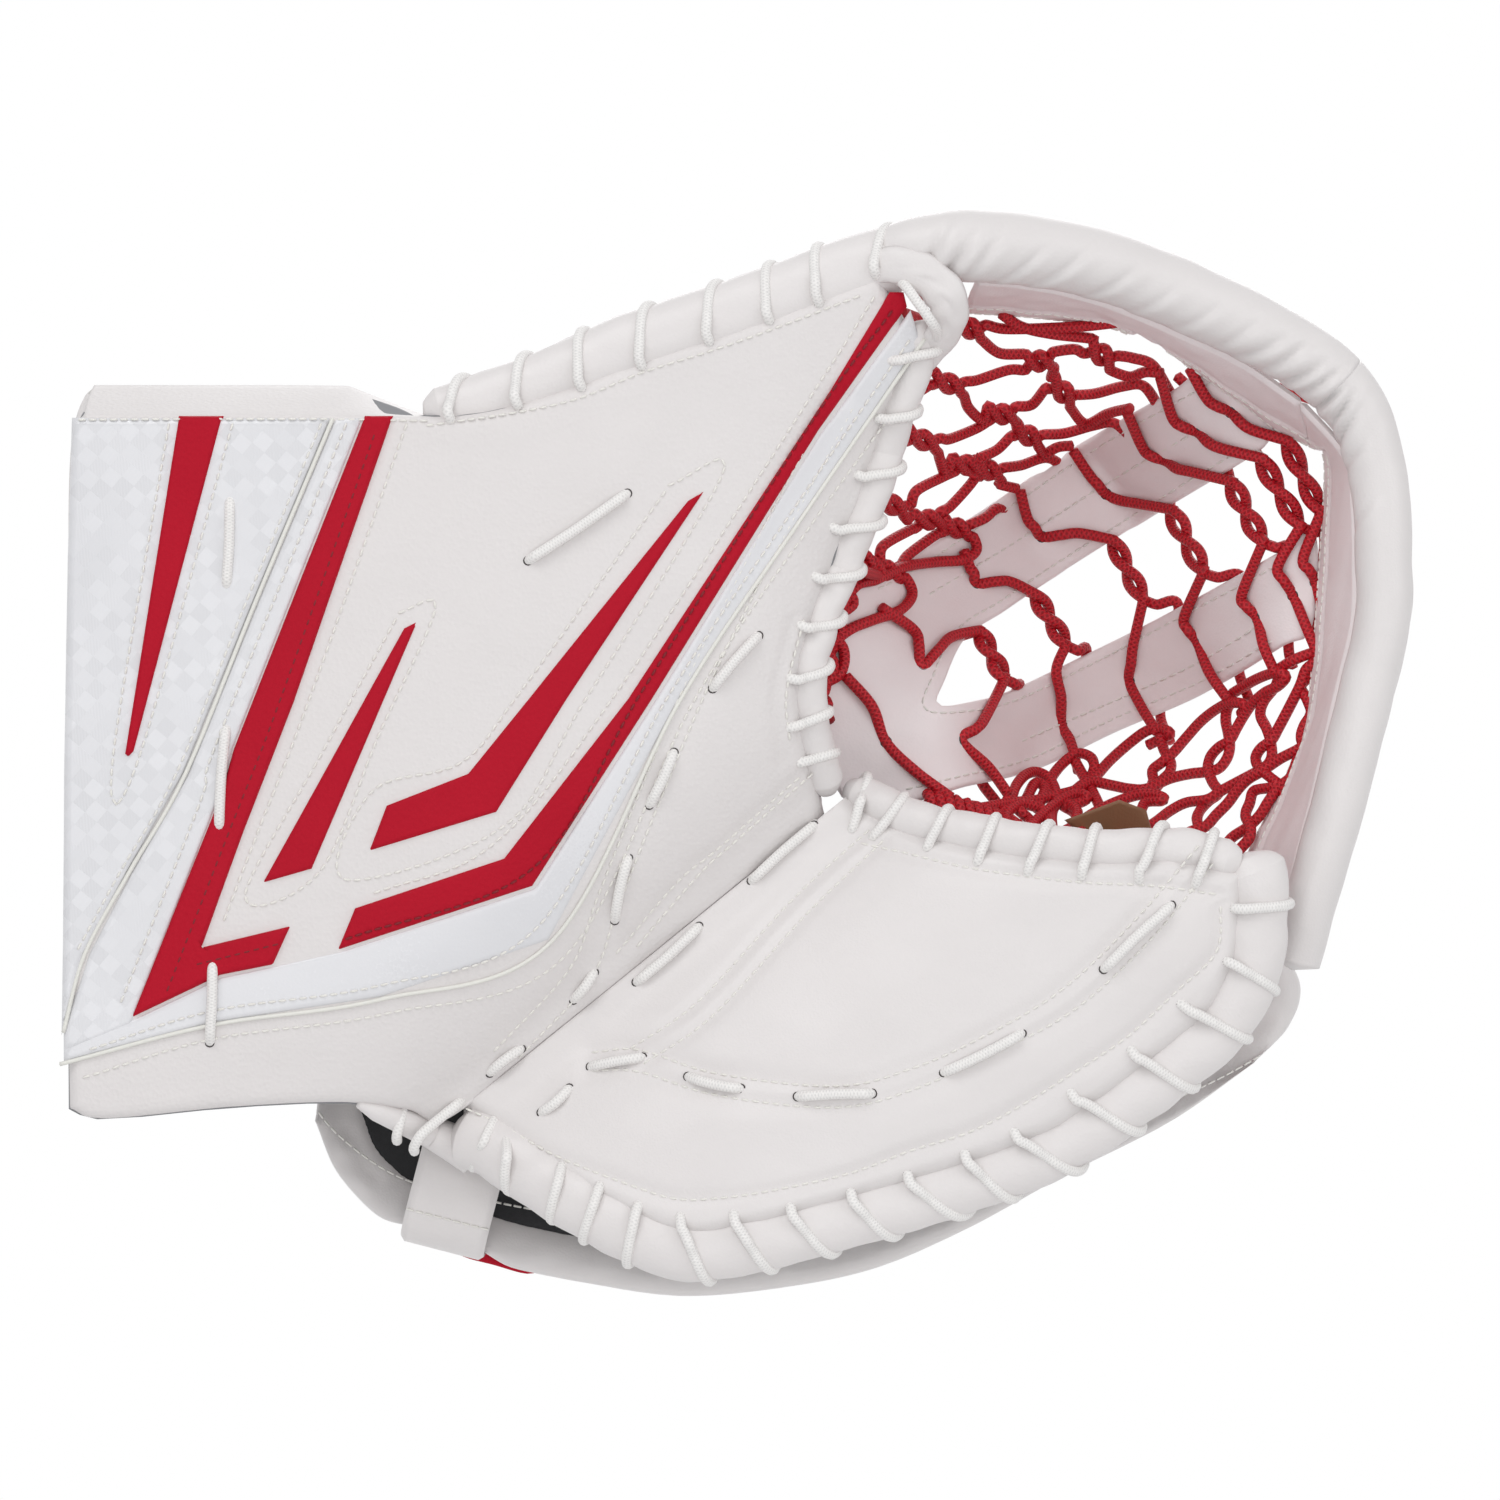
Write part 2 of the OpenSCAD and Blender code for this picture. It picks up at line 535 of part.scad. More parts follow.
stall_from = [142 * stretch_x, 4 * stretch_z];
stall_to = [194 * stretch_x, 96 * stretch_z];
stall_way = unit(stall_to - stall_from);
stall_w = 40;
stall_depth = 30;
stall_wall = 2.2;
stall_spread = 20;
guard_t = 7;
guard_from = 0.3;
// A point of the stall's arch: s along the thumb, a across it in degrees, grown outwards by t.
function stall_point(s, a, t) =
    let (
        close = sqrt(1 - pow(s * 0.93, 5)),
        middle = lerp(stall_from, stall_to, s),
        half_w = (stall_w / 2) * close + t,
        p = middle + half_w * cos(a) * [-stall_way[1], stall_way[0]],
        seat = thumb_face_y(p) + thumb_board_t + seat_gap
    )
    [p[0], seat + (stall_depth * close + t) * pow(abs(sin(a)), 0.6), p[1] + leant(p, thumb_board_t)];
function stall_grid(s0, a0, t) =
    [for (i = [0:8]) [for (j = [0:12]) stall_point(lerp(s0, 1, i / 8), lerp(a0, 180 - a0, j / 12), t)]];
module thumb_stall() { color("black") between(stall_grid(0, 0, stall_wall), stall_grid(0, 0, 0)); }
module thumb_guard() {
    inner = stall_wall + seat_gap;
    color("white") between(stall_grid(guard_from, stall_spread, inner + guard_t),
        stall_grid(guard_from, stall_spread, inner));
}

// Wrist strap: a fixed band from the heel and a strap from the thumb edge that laps over it

wrist_x = 20;
wrist_rear = 38;
strap_join = 4;
// How far back the board's hand side is at the inner edge of the strap.
function strap_seat_y(z) = thumb_face_y([wrist_x + wrist_strap_w, z]) + thumb_board_t + strap_t / 2 + seat_gap;
// Outline of a bent band: the line moved half a thickness each way, as [z, y].
function band_outline(line, t) =
    let (
        n = len(line) - 1,
        side = [for (k = [0:n])
            let (h = unit(line[min(k + 1, n)] - line[max(k - 1, 0)])) [-h[1], h[0]] * t / 2]
    )
    concat([for (k = [0:n]) line[k] + side[k]], [for (k = [0:n]) line[n - k] - side[n - k]]);
function bent(line, steps) = [for (k = [0:steps]) on(line, k / steps)];
module cuff_band(line, x, width) {
    translate([x, 0, 0]) rotate([0, 90, 0]) rotate([0, 0, 180])
        linear_extrude(width) polygon([for (p = band_outline(bent(line, 20), strap_t)) [p[0], -p[1]]]);
}
heel_z = -84 * stretch_z;
thumb_z = 90 * stretch_z;
overlap_z = 10 * stretch_z;
wrist_band_line = [[heel_z + strap_join, strap_seat_y(heel_z)], [heel_z - 2, strap_seat_y(heel_z) + 10],
    [heel_z - 3, 6], [heel_z + 10, wrist_rear - 14], [heel_z + 38, wrist_rear], [overlap_z, wrist_rear + 1]];
strap_lap = strap_t + 1;
wrist_strap_line = [[thumb_z - strap_join, strap_seat_y(thumb_z)], [thumb_z + 3, strap_seat_y(thumb_z) + 10],
    [thumb_z + 3, 6], [thumb_z - 10, wrist_rear - 12], [thumb_z - 38, wrist_rear + 2],
    [overlap_z, wrist_rear + 1 + strap_lap], [overlap_z - 40, wrist_rear + 1 + strap_lap]];
module wrist_band() { color("black") cuff_band(wrist_band_line, wrist_x, wrist_strap_w); }
module wrist_strap() { color("white") cuff_band(wrist_strap_line, wrist_x, wrist_strap_w); }

// Back pad: its cover, its foam, and the piping on its edge

function pad_front_y(u, v) = pad_wrist_y - pad_taper * u - pad_wrap * pow(1 - v, 3);
function pad_point(u, v, depth) =
    let (p = filled(pad_wrist, pad_tip, pad_outer, pad_inner, u, v)) [p[0], pad_front_y(u, v) + depth, p[1]];
function pad_grid(u0, u1, v0, v1, nu, nv, depth) =
    [for (j = [0:nv]) [for (i = [0:nu]) pad_point(lerp(u0, u1, i / nu), lerp(v0, v1, j / nv), depth)]];
pad_lining_t = 3;
module back_pad_foam() {
    color("black") between(pad_grid(0, 1, 0, 1, 18, 6, 0), pad_grid(0, 1, 0, 1, 18, 6, pad_lining_t));
}
module back_pad_cover() {
    color("white") between(pad_grid(0, 1, 0, 1, 18, 6, pad_lining_t), pad_grid(0, 1, 0, 1, 18, 6, pad_t));
}
piping_r = 1.5;
piping_gap = 1.8;
module back_pad_piping() {
    line = [for (k = [0:16]) let (u = lerp(0.3, 0.96, k / 16)) pad_point(u, 0.05, pad_t + piping_r + piping_gap)];
    color("crimson") tube(line, 20, piping_r, piping_r, 8);
}

// Cloth wall between the finger board and the back pad
gusset_t = 2;
gusset_inset = 6;
module hand_gusset() {
    steps = 16;
    front = [for (k = [0:steps]) let (
        s = lerp(0.3, 0.97, k / steps),
        p = beside(finger_low, s, gusset_inset, 1)
    ) [p[0], finger_face_y(p) + finger_board_t + seat_gap, p[1]]];
    rear = [for (k = [0:steps]) let (
        s = lerp(0.3, 0.97, k / steps),
        p = beside(finger_low, s, gusset_inset - 4, 1)
    ) [p[0], pad_front_y(0.6, 0) - 4, p[1]]];
    color("black") between([front, rear], [shifted(front, [0, 0, gusset_t]), shifted(rear, [0, 0, gusset_t])]);
}

// Three walls that part the space into four finger stalls
divider_t = 2;
divider_lines = [[[205, -47], [284, -43]], [[200, -68], [280, -60]], [[196, -90], [272, -78]]];
module finger_dividers() {
    color("black") for (line = sized_lines(divider_lines)) {
        points = [for (k = [0:4]) lerp(line[0], line[1], k / 4)];
        front = [for (p = points) [p[0], finger_face_y(p) + finger_board_t + seat_gap, p[1]]];
        rear = [for (p = points) [p[0], pad_wrist_y - pad_taper - 6, p[1]]];
        between([front, rear], [shifted(front, [0, 0, divider_t]), shifted(rear, [0, 0, divider_t])]);
    }
}
function sized_lines(lines) = [for (line = lines) sized(line)];

// Hand strap over the back pad, its loop at the heel, and the tail that folds back

strap_u = [0.15, 0.24];
strap_v = [0.02, 0.92];
strap_lift = pad_t + seat_gap;
module hand_strap() {
    color("black") between(pad_grid(strap_u[0], strap_u[1], strap_v[0], strap_v[1], 3, 10, strap_lift),
        pad_grid(strap_u[0], strap_u[1], strap_v[0], strap_v[1], 3, 10, strap_lift + strap_t));
}
loop_leg_t = 3;
loop_lift = strap_lift + strap_t + seat_gap;
tail_gap = 2.2;
tail_lift = loop_lift + loop_leg_t + tail_gap;
tail_v = [0.1, 0.62];
module strap_tail() {
    color("black") between(pad_grid(strap_u[0], strap_u[1], tail_v[0], tail_v[1], 3, 8, tail_lift),
        pad_grid(strap_u[0], strap_u[1], tail_v[0], tail_v[1], 3, 8, tail_lift + strap_t));
}
tab_v = [0.16, 0.66];
tab_lift = tail_lift + strap_t + seat_gap;
module pull_tab() {
    color("crimson") between(pad_grid(strap_u[0], strap_u[1], tab_v[0], tab_v[1], 3, 8, tab_lift),
        pad_grid(strap_u[0], strap_u[1], tab_v[0], tab_v[1], 3, 8, tab_lift + strap_t));
}
// The loop goes from behind the finger board's heel round the pad's edge and lies on the strap.
loop_at = 0.25;
loop_clear = 4.5;
function loop_seat_y(inwards) =
    pad_front_y(strap_u[0], inwards / (115 * stretch_z)) + strap_lift + strap_t + seat_gap + loop_leg_t / 2 + 0.4;
// As [outwards, y] from the pad's edge.
loop_run = [[-32, -7.5], [-20, -9], [-8, -8.5], [0, -3], [loop_clear - 1, 6], [loop_clear, 16],
    [loop_clear, loop_seat_y(0) - 5], [1, loop_seat_y(0) - 0.5], [-5, loop_seat_y(5)], [-13, loop_seat_y(13)]];
module strap_loop() {
    heel = on(pad_outer, loop_at);
    h = heading(pad_outer, loop_at);
    color("white") translate([heel[0], 0, heel[1]])
        rotate([0, -atan2(h[1], h[0]), 0])
            translate([-loop_w / 2, 0, 0]) rotate([90, 0, 90])
                linear_extrude(loop_w)
                    polygon([for (p = band_outline(bent(loop_run, 27), loop_leg_t)) [p[1], -p[0]]]);
}

thumb_face_cover();
thumb_foam();
thumb_stiffener();
thumb_lining();
cuff_overlay();
red_inlays();
thumb_edge_roll();
thumb_edge_lacing();
thumb_mouth_roll();
thumb_mouth_lacing();
thumb_face_laces();
thumb_tip_cap();
top_tube_cover();
top_tube_core();
top_skirt();
net_top();
palm_fold();
thumb_stall();
thumb_guard();
wrist_band();
wrist_strap();
upper_t_strap();
lower_t_strap();
pocket_base();
net_middle();
rim_corner();
corner_skirt();
finger_face_cover();
finger_foam();
finger_stiffener();
finger_lining();
finger_edge_roll();
finger_edge_lacing();
finger_mouth_roll();
finger_mouth_lacing();
finger_face_laces();
side_tube_cover();
side_tube_core();
side_skirt();
net_side();
finger_dividers();
hand_gusset();
back_pad_cover();
back_pad_foam();
back_pad_piping();
strap_loop();
hand_strap();
strap_tail();
pull_tab();
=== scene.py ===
"""Goalie catch glove: the finish of every surface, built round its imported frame.

X runs from the wrist to the rim, Z up to the thumb, and Y away from the shooter. Sizes in the outlines are
millimetres, as on a cutting pattern, and meshes are made in metres.
"""

import math

import bmesh
import bpy
import numpy as np
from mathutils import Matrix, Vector, geometry


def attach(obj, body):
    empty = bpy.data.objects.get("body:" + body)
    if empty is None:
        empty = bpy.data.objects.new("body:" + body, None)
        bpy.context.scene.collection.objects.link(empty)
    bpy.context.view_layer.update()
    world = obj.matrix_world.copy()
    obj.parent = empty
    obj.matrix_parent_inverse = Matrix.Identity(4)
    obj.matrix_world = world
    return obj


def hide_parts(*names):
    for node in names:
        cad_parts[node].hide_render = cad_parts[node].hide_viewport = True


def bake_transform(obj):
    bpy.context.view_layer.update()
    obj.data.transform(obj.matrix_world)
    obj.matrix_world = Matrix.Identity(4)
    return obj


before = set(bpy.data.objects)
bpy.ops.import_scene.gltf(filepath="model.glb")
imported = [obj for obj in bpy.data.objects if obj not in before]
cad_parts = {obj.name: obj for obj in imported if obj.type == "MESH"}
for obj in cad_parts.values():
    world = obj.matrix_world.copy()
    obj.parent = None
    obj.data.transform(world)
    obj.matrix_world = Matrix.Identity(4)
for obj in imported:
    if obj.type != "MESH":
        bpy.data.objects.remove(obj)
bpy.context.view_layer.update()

bl_info = {
    "name": "Goalie Catch Glove",
    "version": (1, 0, 0),
    "blender": (4, 5, 0),
    "location": "View3D > Sidebar > Glove",
    "description": "Builds a laced goalie catch glove with a corded pocket",
    "category": "Add Mesh",
}

MM = 0.001

# ---- Pattern outlines, as [x, z] from left to right or from bottom to top ----

BREAK_HEEL = np.array([107.0, -101.0])
RIM_CORNER = np.array([366.0, 108.6])
BREAK_Y = -24.0
BREAK_GAP = 4.5
MOUTH_MID = np.array([288.0, 51.0])
THUMB_BOARD_T = 22.0
FINGER_BOARD_T = 18.0
CUFF_LEAN = 10.0
# The back pad's thickness, where its front face stands, and how far that falls along it and at its edge.
PAD_T, PAD_FRONT, PAD_FALL, PAD_CURL = 14.0, 28.0, 16.0, 14.0

_run = RIM_CORNER - BREAK_HEEL
BREAK_ANGLE = math.atan2(_run[1], _run[0])
BREAK_SIN, BREAK_COS = math.sin(BREAK_ANGLE), math.cos(BREAK_ANGLE)
BREAK_NORMAL = np.array([BREAK_SIN, 0.0, -BREAK_COS])
BREAK_POINT = np.array([BREAK_HEEL[0], BREAK_Y, BREAK_HEEL[1]])

CUFF_END = [(2, -97), (2, -30), (2, 40), (3, 90), (7, 100)]
THUMB_TOP = [(7, 100), (60, 100), (108, 100), (134, 105), (164, 116), (197, 127), (231, 140)]
THUMB_MOUTH = [(216, -7), (210, 12), (209, 28), (213, 44), (220, 62), (228, 82), (234, 102), (240, 122),
               (231, 140)]
THUMB_HEEL = [(2, -97), (12, -100), (47, -97), (77, -96), (96, -98)]
FINGER_MOUTH = [(222, -14), (240, -17), (257, -21), (276, -24), (296, -25.5), (315, -25), (333, -29)]
FINGER_TIP = [(332, -54), (333, -42), (333, -29)]
FINGER_OUTER = [(114, -101), (124, -105), (136, -112), (150, -120), (164, -127), (178, -131), (197, -128),
                (220, -122), (248, -114), (276, -104), (293, -94), (310, -81), (324, -69), (332, -54)]
PAD_OUTER = [(66, -104), (74, -121), (92, -137), (120, -146), (150, -152), (174, -155), (200, -153),
             (230, -147), (258, -135), (287, -119), (318, -103), (342, -86)]
PAD_TIP = [(342, -86), (353, -76), (357, -64), (350, -50)]
PAD_INNER = [(80, -72), (110, -50), (150, -30), (190, -26), (230, -38), (270, -46), (310, -48), (350, -50)]
PAD_WRIST = [(66, -104), (68, -86), (80, -72)]

# Rim as [x, y, z].
TOP_TUBE = [(234, -44, 147), (243, -46, 148.5), (256, -46, 148.6), (274, -42.5, 147.6), (296, -37, 143.5),
            (320, -31, 135), (341, -27, 125.5)]
RIM_BEND = [(356, -25, 116.8), (367, -24, 106.5)]
SIDE_TUBE = [(373, -25, 93), (375.8, -27, 77), (376.2, -29, 60), (375.5, -31, 42), (368.8, -32, 14),
             (361.8, -32, -14), (355.5, -31, -36), (350.5, -29, -55)]
TOP_SKIRT_REAR = [(257, 3, 135), (280, 5, 133.5), (304, 7, 130), (322, 9, 121), (341, 11, 108),
                  (350, 12, 101)]
SIDE_SKIRT_REAR = [(365, 12, 92), (364, 12, 68), (362, 12, 40), (359, 12, 12), (351, 10, -8), (342, 6, -24),
                   (338, 3, -38)]

# The pocket's leather, as [x, z], and how far back it hangs at [x, y, z].
POCKET_LEATHER = [
    (222, -8), (232, -10), (244, -9), (258, -5), (280, 0), (306, 12), (331, 23), (351, 36), (360, 42),
    (361, 70), (350, 64), (324, 49), (300, 36), (276, 24.5), (262, 20.5), (250.5, 19.5), (253, 27),
    (260, 40), (272, 48), (286, 57.5), (313, 74.5), (339, 90), (347, 96), (350, 104), (331, 118),
    (319, 111), (297, 99), (269, 80), (242, 62), (229, 55), (217, 50), (213, 40), (212, 20), (215, 4),
]
POCKET_HANG = [
    (228, 13, 50), (242, 37, 62), (269, 59, 80), (297, 62, 99), (319, 16.5, 111), (243, 17.5, 28),
    (258, 41, 39), (286, 63.5, 58), (313, 64.5, 75), (339, 16.5, 90), (255, 17.5, 19), (276, 50, 24),
    (300, 63.5, 36), (324, 54.5, 49), (350, 14, 64), (258, 13, -4), (280, 51, 0), (306, 64.5, 12),
    (331, 51, 23), (351, 14, 37), (217, 3, 12), (217, 5, 42), (232, 6, -9), (224, 2, 68), (232, 0, 88),
    (240, -2, 108), (251, 2, 126), (276, 6, 128), (297, 8, 124), (238, 2, -16), (262, 3, -21),
    (285, 3, -24), (310, 3, -25), (331, 3, -24), (346, 9, -6), (356, 12, 14), (364, 12, 68), (363, 12, 40),
    (352, 11, 101), (366, 12, 90), (324, 9, 121),
]

# ---- Curves and surfaces ----


def curve(points, s):
    """Points of the smooth curve through points, for s from 0 to 1."""
    p = np.asarray(points, float)
    n = len(p) - 1
    s = np.clip(np.asarray(s, float), 0, 1)
    k = np.minimum((s * n).astype(int), n - 1)
    t = (s * n - k)[..., None]
    b, c = p[k], p[k + 1]
    a = np.where((k > 0)[..., None], p[np.maximum(k - 1, 0)], 2 * b - c)
    d = np.where((k + 2 <= n)[..., None], p[np.minimum(k + 2, n)], 2 * c - b)
    return b + 0.5 * ((c - a) * t + (2 * a - 5 * b + 4 * c - d) * t**2 + (3 * b - a - 3 * c + d) * t**3)


def units(vectors):
    """Each vector at length 1."""
    length = np.linalg.norm(vectors, axis=-1, keepdims=True)
    return vectors / np.maximum(length, 1e-9)


def heading(points, s):
    s = np.asarray(s, float)
    return units(curve(points, np.minimum(s + 0.01, 1)) - curve(points, np.maximum(s - 0.01, 0)))


def along(path):
    """The distance along a path to each of its points."""
    return np.concatenate([[0], np.cumsum(np.linalg.norm(np.diff(path, axis=0), axis=1))])


def turns(count):
    """Evenly spaced angles of a full turn."""
    return 2 * math.pi * np.arange(count) / count


def even(points, step, smooth=True, closed=False):
    """The line through points, resampled about every step."""
    p = np.asarray(points, float)
    if closed:
        p = np.vstack([p, p[:1]])
    fine = curve(p, np.linspace(0, 1, 40 * len(p))) if smooth else p
    length = along(fine)
    count = max(2, int(round(length[-1] / step)) + 1)
    at = np.linspace(0, length[-1], count)
    return np.stack([np.interp(at, length, fine[:, i]) for i in range(fine.shape[1])], axis=1)


def filled(left, right, low, high, u, v):
    """The surface that fills four edge curves, as rows of v by columns of u."""
    u, v = np.asarray(u, float), np.asarray(v, float)
    lo, hi = curve(low, u)[None], curve(high, u)[None]
    le, ri = curve(left, v)[:, None], curve(right, v)[:, None]
    uu, vv = u[None, :, None], v[:, None, None]
    low_row, high_row = [(1 - uu) * edge[:, :1] + uu * edge[:, -1:] for edge in (lo, hi)]
    corners = low_row * (1 - vv) + high_row * vv
    return lo * (1 - vv) + hi * vv + le * (1 - uu) + ri * uu - corners


def bunched(n, edge):
    """Values from 0 to 1 that crowd together within edge of both ends."""
    close = np.array([0, 0.07, 0.17, 0.3, 0.47, 0.7]) * edge
    return np.concatenate([close, np.linspace(edge, 1 - edge, n), 1 - close[::-1]])


def distance_to(points, lines):
    """How far each [x, z] is from the nearest of some lines."""
    p = np.asarray(points, float).reshape(-1, 2)
    best = np.full(len(p), 1e9)
    for line in lines:
        a, b = line[:-1], line[1:]
        d = b - a
        size = np.maximum((d**2).sum(1), 1e-9)
        for i in range(len(a)):
            t = np.clip(((p - a[i]) @ d[i]) / size[i], 0, 1)
            best = np.minimum(best, np.hypot(*(p - a[i] - t[:, None] * d[i]).T))
    return best.reshape(np.shape(points)[:-1])


def ripple(x, z, size, seed):
    """Smooth waves about size long, from -1 to 1."""
    total = 0
    for k in range(5):
        a = seed * 1.7 + k * 2.4
        f = (1 + 0.37 * k) / size
        total = total + np.sin(2 * math.pi * f * (x * math.cos(a) + z * math.sin(a)) + seed * 3.1 + 1.9 * k)
    return total / 5


def across(p):
    """Distance from the break in the face plane, positive on the finger side."""
    return (p[..., 0] - BREAK_HEEL[0]) * BREAK_SIN - (p[..., 1] - BREAK_HEEL[1]) * BREAK_COS


def along_break(x, gap):
    return (x, BREAK_HEEL[1] + (x - BREAK_HEEL[0]) * math.tan(BREAK_ANGLE) - gap / BREAK_COS)


def valley(u):
    """How far the leather bridges the bottom of the fold."""
    return -3.2 * np.exp(-((u / 5.5) ** 2))


def thumb_base_y(p):
    u = np.minimum(across(p), 0)
    dip = 14 * np.exp(-np.maximum(np.linalg.norm(p - MOUTH_MID, axis=-1) - 70, 0) / 18)
    return BREAK_Y - 30 * (1 - np.exp(u / 25)) + dip


def finger_base_y(p):
    u = np.maximum(across(p), 0)
    return (BREAK_Y - 34 * np.sin(math.pi / 2 * np.minimum(u / 79, 1))
            + 8 * (np.maximum(u - 79, 0) / 50) ** 1.5)


def leant(p, depth):
    """The cuff's hand side stands higher than its face, as far as the start of the thumb's rolled edge."""
    return CUFF_LEAN * depth / THUMB_BOARD_T * np.clip((106 - p[..., 0]) / 26, 0, 1)


# Seams of the thumb face and the finger face: line, how deep the thread pulls the leather, and how widely.
THUMB_SEAMS = {
    "pearl_edge": [(244, 122), (209, 71), (175, 20), (138, -49), (90, -65), (43, -72), (0, -83)],
    "inner_low": [(212, 1), (188, -20), (177, -29), (159, -50)],
    "inner_high": [(207, 43), (202, 22), (203, 10), (204, 2)],
    "lace_line": [(221, 105), (197, 59), (180, 25), (166, -8), (154, -38), (146, -58), (124, -82),
                  (104, -96)],
}
FINGER_SEAMS = {
    "palm_seam": [(229, -17), (207, -37), (180, -66), (160, -80)],
    "palm_seam_2": [(233, -20), (211, -41), (184, -70), (164, -84)],
    "lace_high": [(149, -81), (163, -80), (185, -86), (219, -89), (240, -84), (260, -75), (282, -62),
                  (303, -42), (321, -21)],
    "lace_low": [(149, -86), (163, -86), (185, -92), (219, -95), (240, -90), (260, -81), (285, -68),
                 (307, -48), (325, -26)],
    "edge": [(110, -96), (124, -102), (140, -110), (163, -118), (175, -121), (190, -120), (207, -117),
             (224, -113), (240, -107), (256, -102), (270, -95), (286, -85), (301, -75), (315, -62),
             (326, -51), (327, -38)],
    "mouth": [(226, -21), (240, -24), (258, -28), (286, -31.5), (307, -32.5), (326, -35)],
}


def grooved(p, seams, depth, width):
    lines = [even(line, 3) for line in seams]
    return depth * np.exp(-((distance_to(p, lines) / width) ** 2))


def thumb_skin(p):
    """How far forward the thumb face's leather stands at each [x, z]."""
    p = np.asarray(p, float)
    u = across(p)
    flat = np.clip(-u / 60, 0, 1)
    return (thumb_base_y(p) + valley(u) + 0.45 * ripple(p[..., 0], p[..., 1], 95, 1) * flat
            + grooved(p, [THUMB_SEAMS["inner_low"], THUMB_SEAMS["inner_high"]], 0.7, 1.6)
            + grooved(p, [THUMB_SEAMS["lace_line"]], 1.1, 4.5))


def finger_skin(p):
    p = np.asarray(p, float)
    u = across(p)
    full = np.clip(u / 30, 0, 1)
    names = ("palm_seam", "palm_seam_2")
    return (finger_base_y(p) + valley(u) - 1.0 * full + 0.35 * ripple(p[..., 0], p[..., 1], 70, 2) * full
            + grooved(p, [FINGER_SEAMS[n] for n in names], 0.7, 1.7)
            + grooved(p, [FINGER_SEAMS["lace_high"], FINGER_SEAMS["lace_low"]], 0.9, 3.2)
            + grooved(p, [FINGER_SEAMS["edge"], FINGER_SEAMS["mouth"]], 0.8, 2.2))


def on_face(points, skin, lift=0.0):
    """[x, z] points as [x, y, z] on a face, lifted towards the shooter."""
    p = np.asarray(points, float)
    return np.stack([p[..., 0], skin(p) - lift, p[..., 1]], axis=-1)


def level(y):
    """A skin that is flat at y."""
    return lambda p: y + 0 * np.asarray(p, float)[..., 0]


def bend_energy(r):
    return r * r * np.log(np.maximum(r, 1e-9))


def thin_plate(points, stiffness=30.0):
    """A smooth surface y over [x, z] that passes close to some [x, y, z] points, as a thin plate would."""
    p = np.asarray(points, float)
    at, y = p[:, [0, 2]], p[:, 1]
    n = len(p)
    system = np.zeros((n + 3, n + 3))
    system[:n, :n] = bend_energy(np.linalg.norm(at[:, None] - at[None], axis=-1)) + np.eye(n) * stiffness
    system[:n, n] = system[n, :n] = 1
    system[:n, n + 1:], system[n + 1:, :n] = at, at.T
    share = np.linalg.solve(system, np.concatenate([y, np.zeros(3)]))

    def height(q):
        q = np.asarray(q, float)
        flat = q.reshape(-1, 2)
        r = np.linalg.norm(flat[:, None] - at[None], axis=-1)
        return (bend_energy(r) @ share[:n] + share[n] + flat @ share[n + 1:]).reshape(q.shape[:-1])
    return height


hang = thin_plate(POCKET_HANG)


def pocket_skin(p):
    """How far back the pocket's front face hangs at each [x, z]."""
    return np.clip(hang(p), -6, 66)


# ---- Mesh building ----


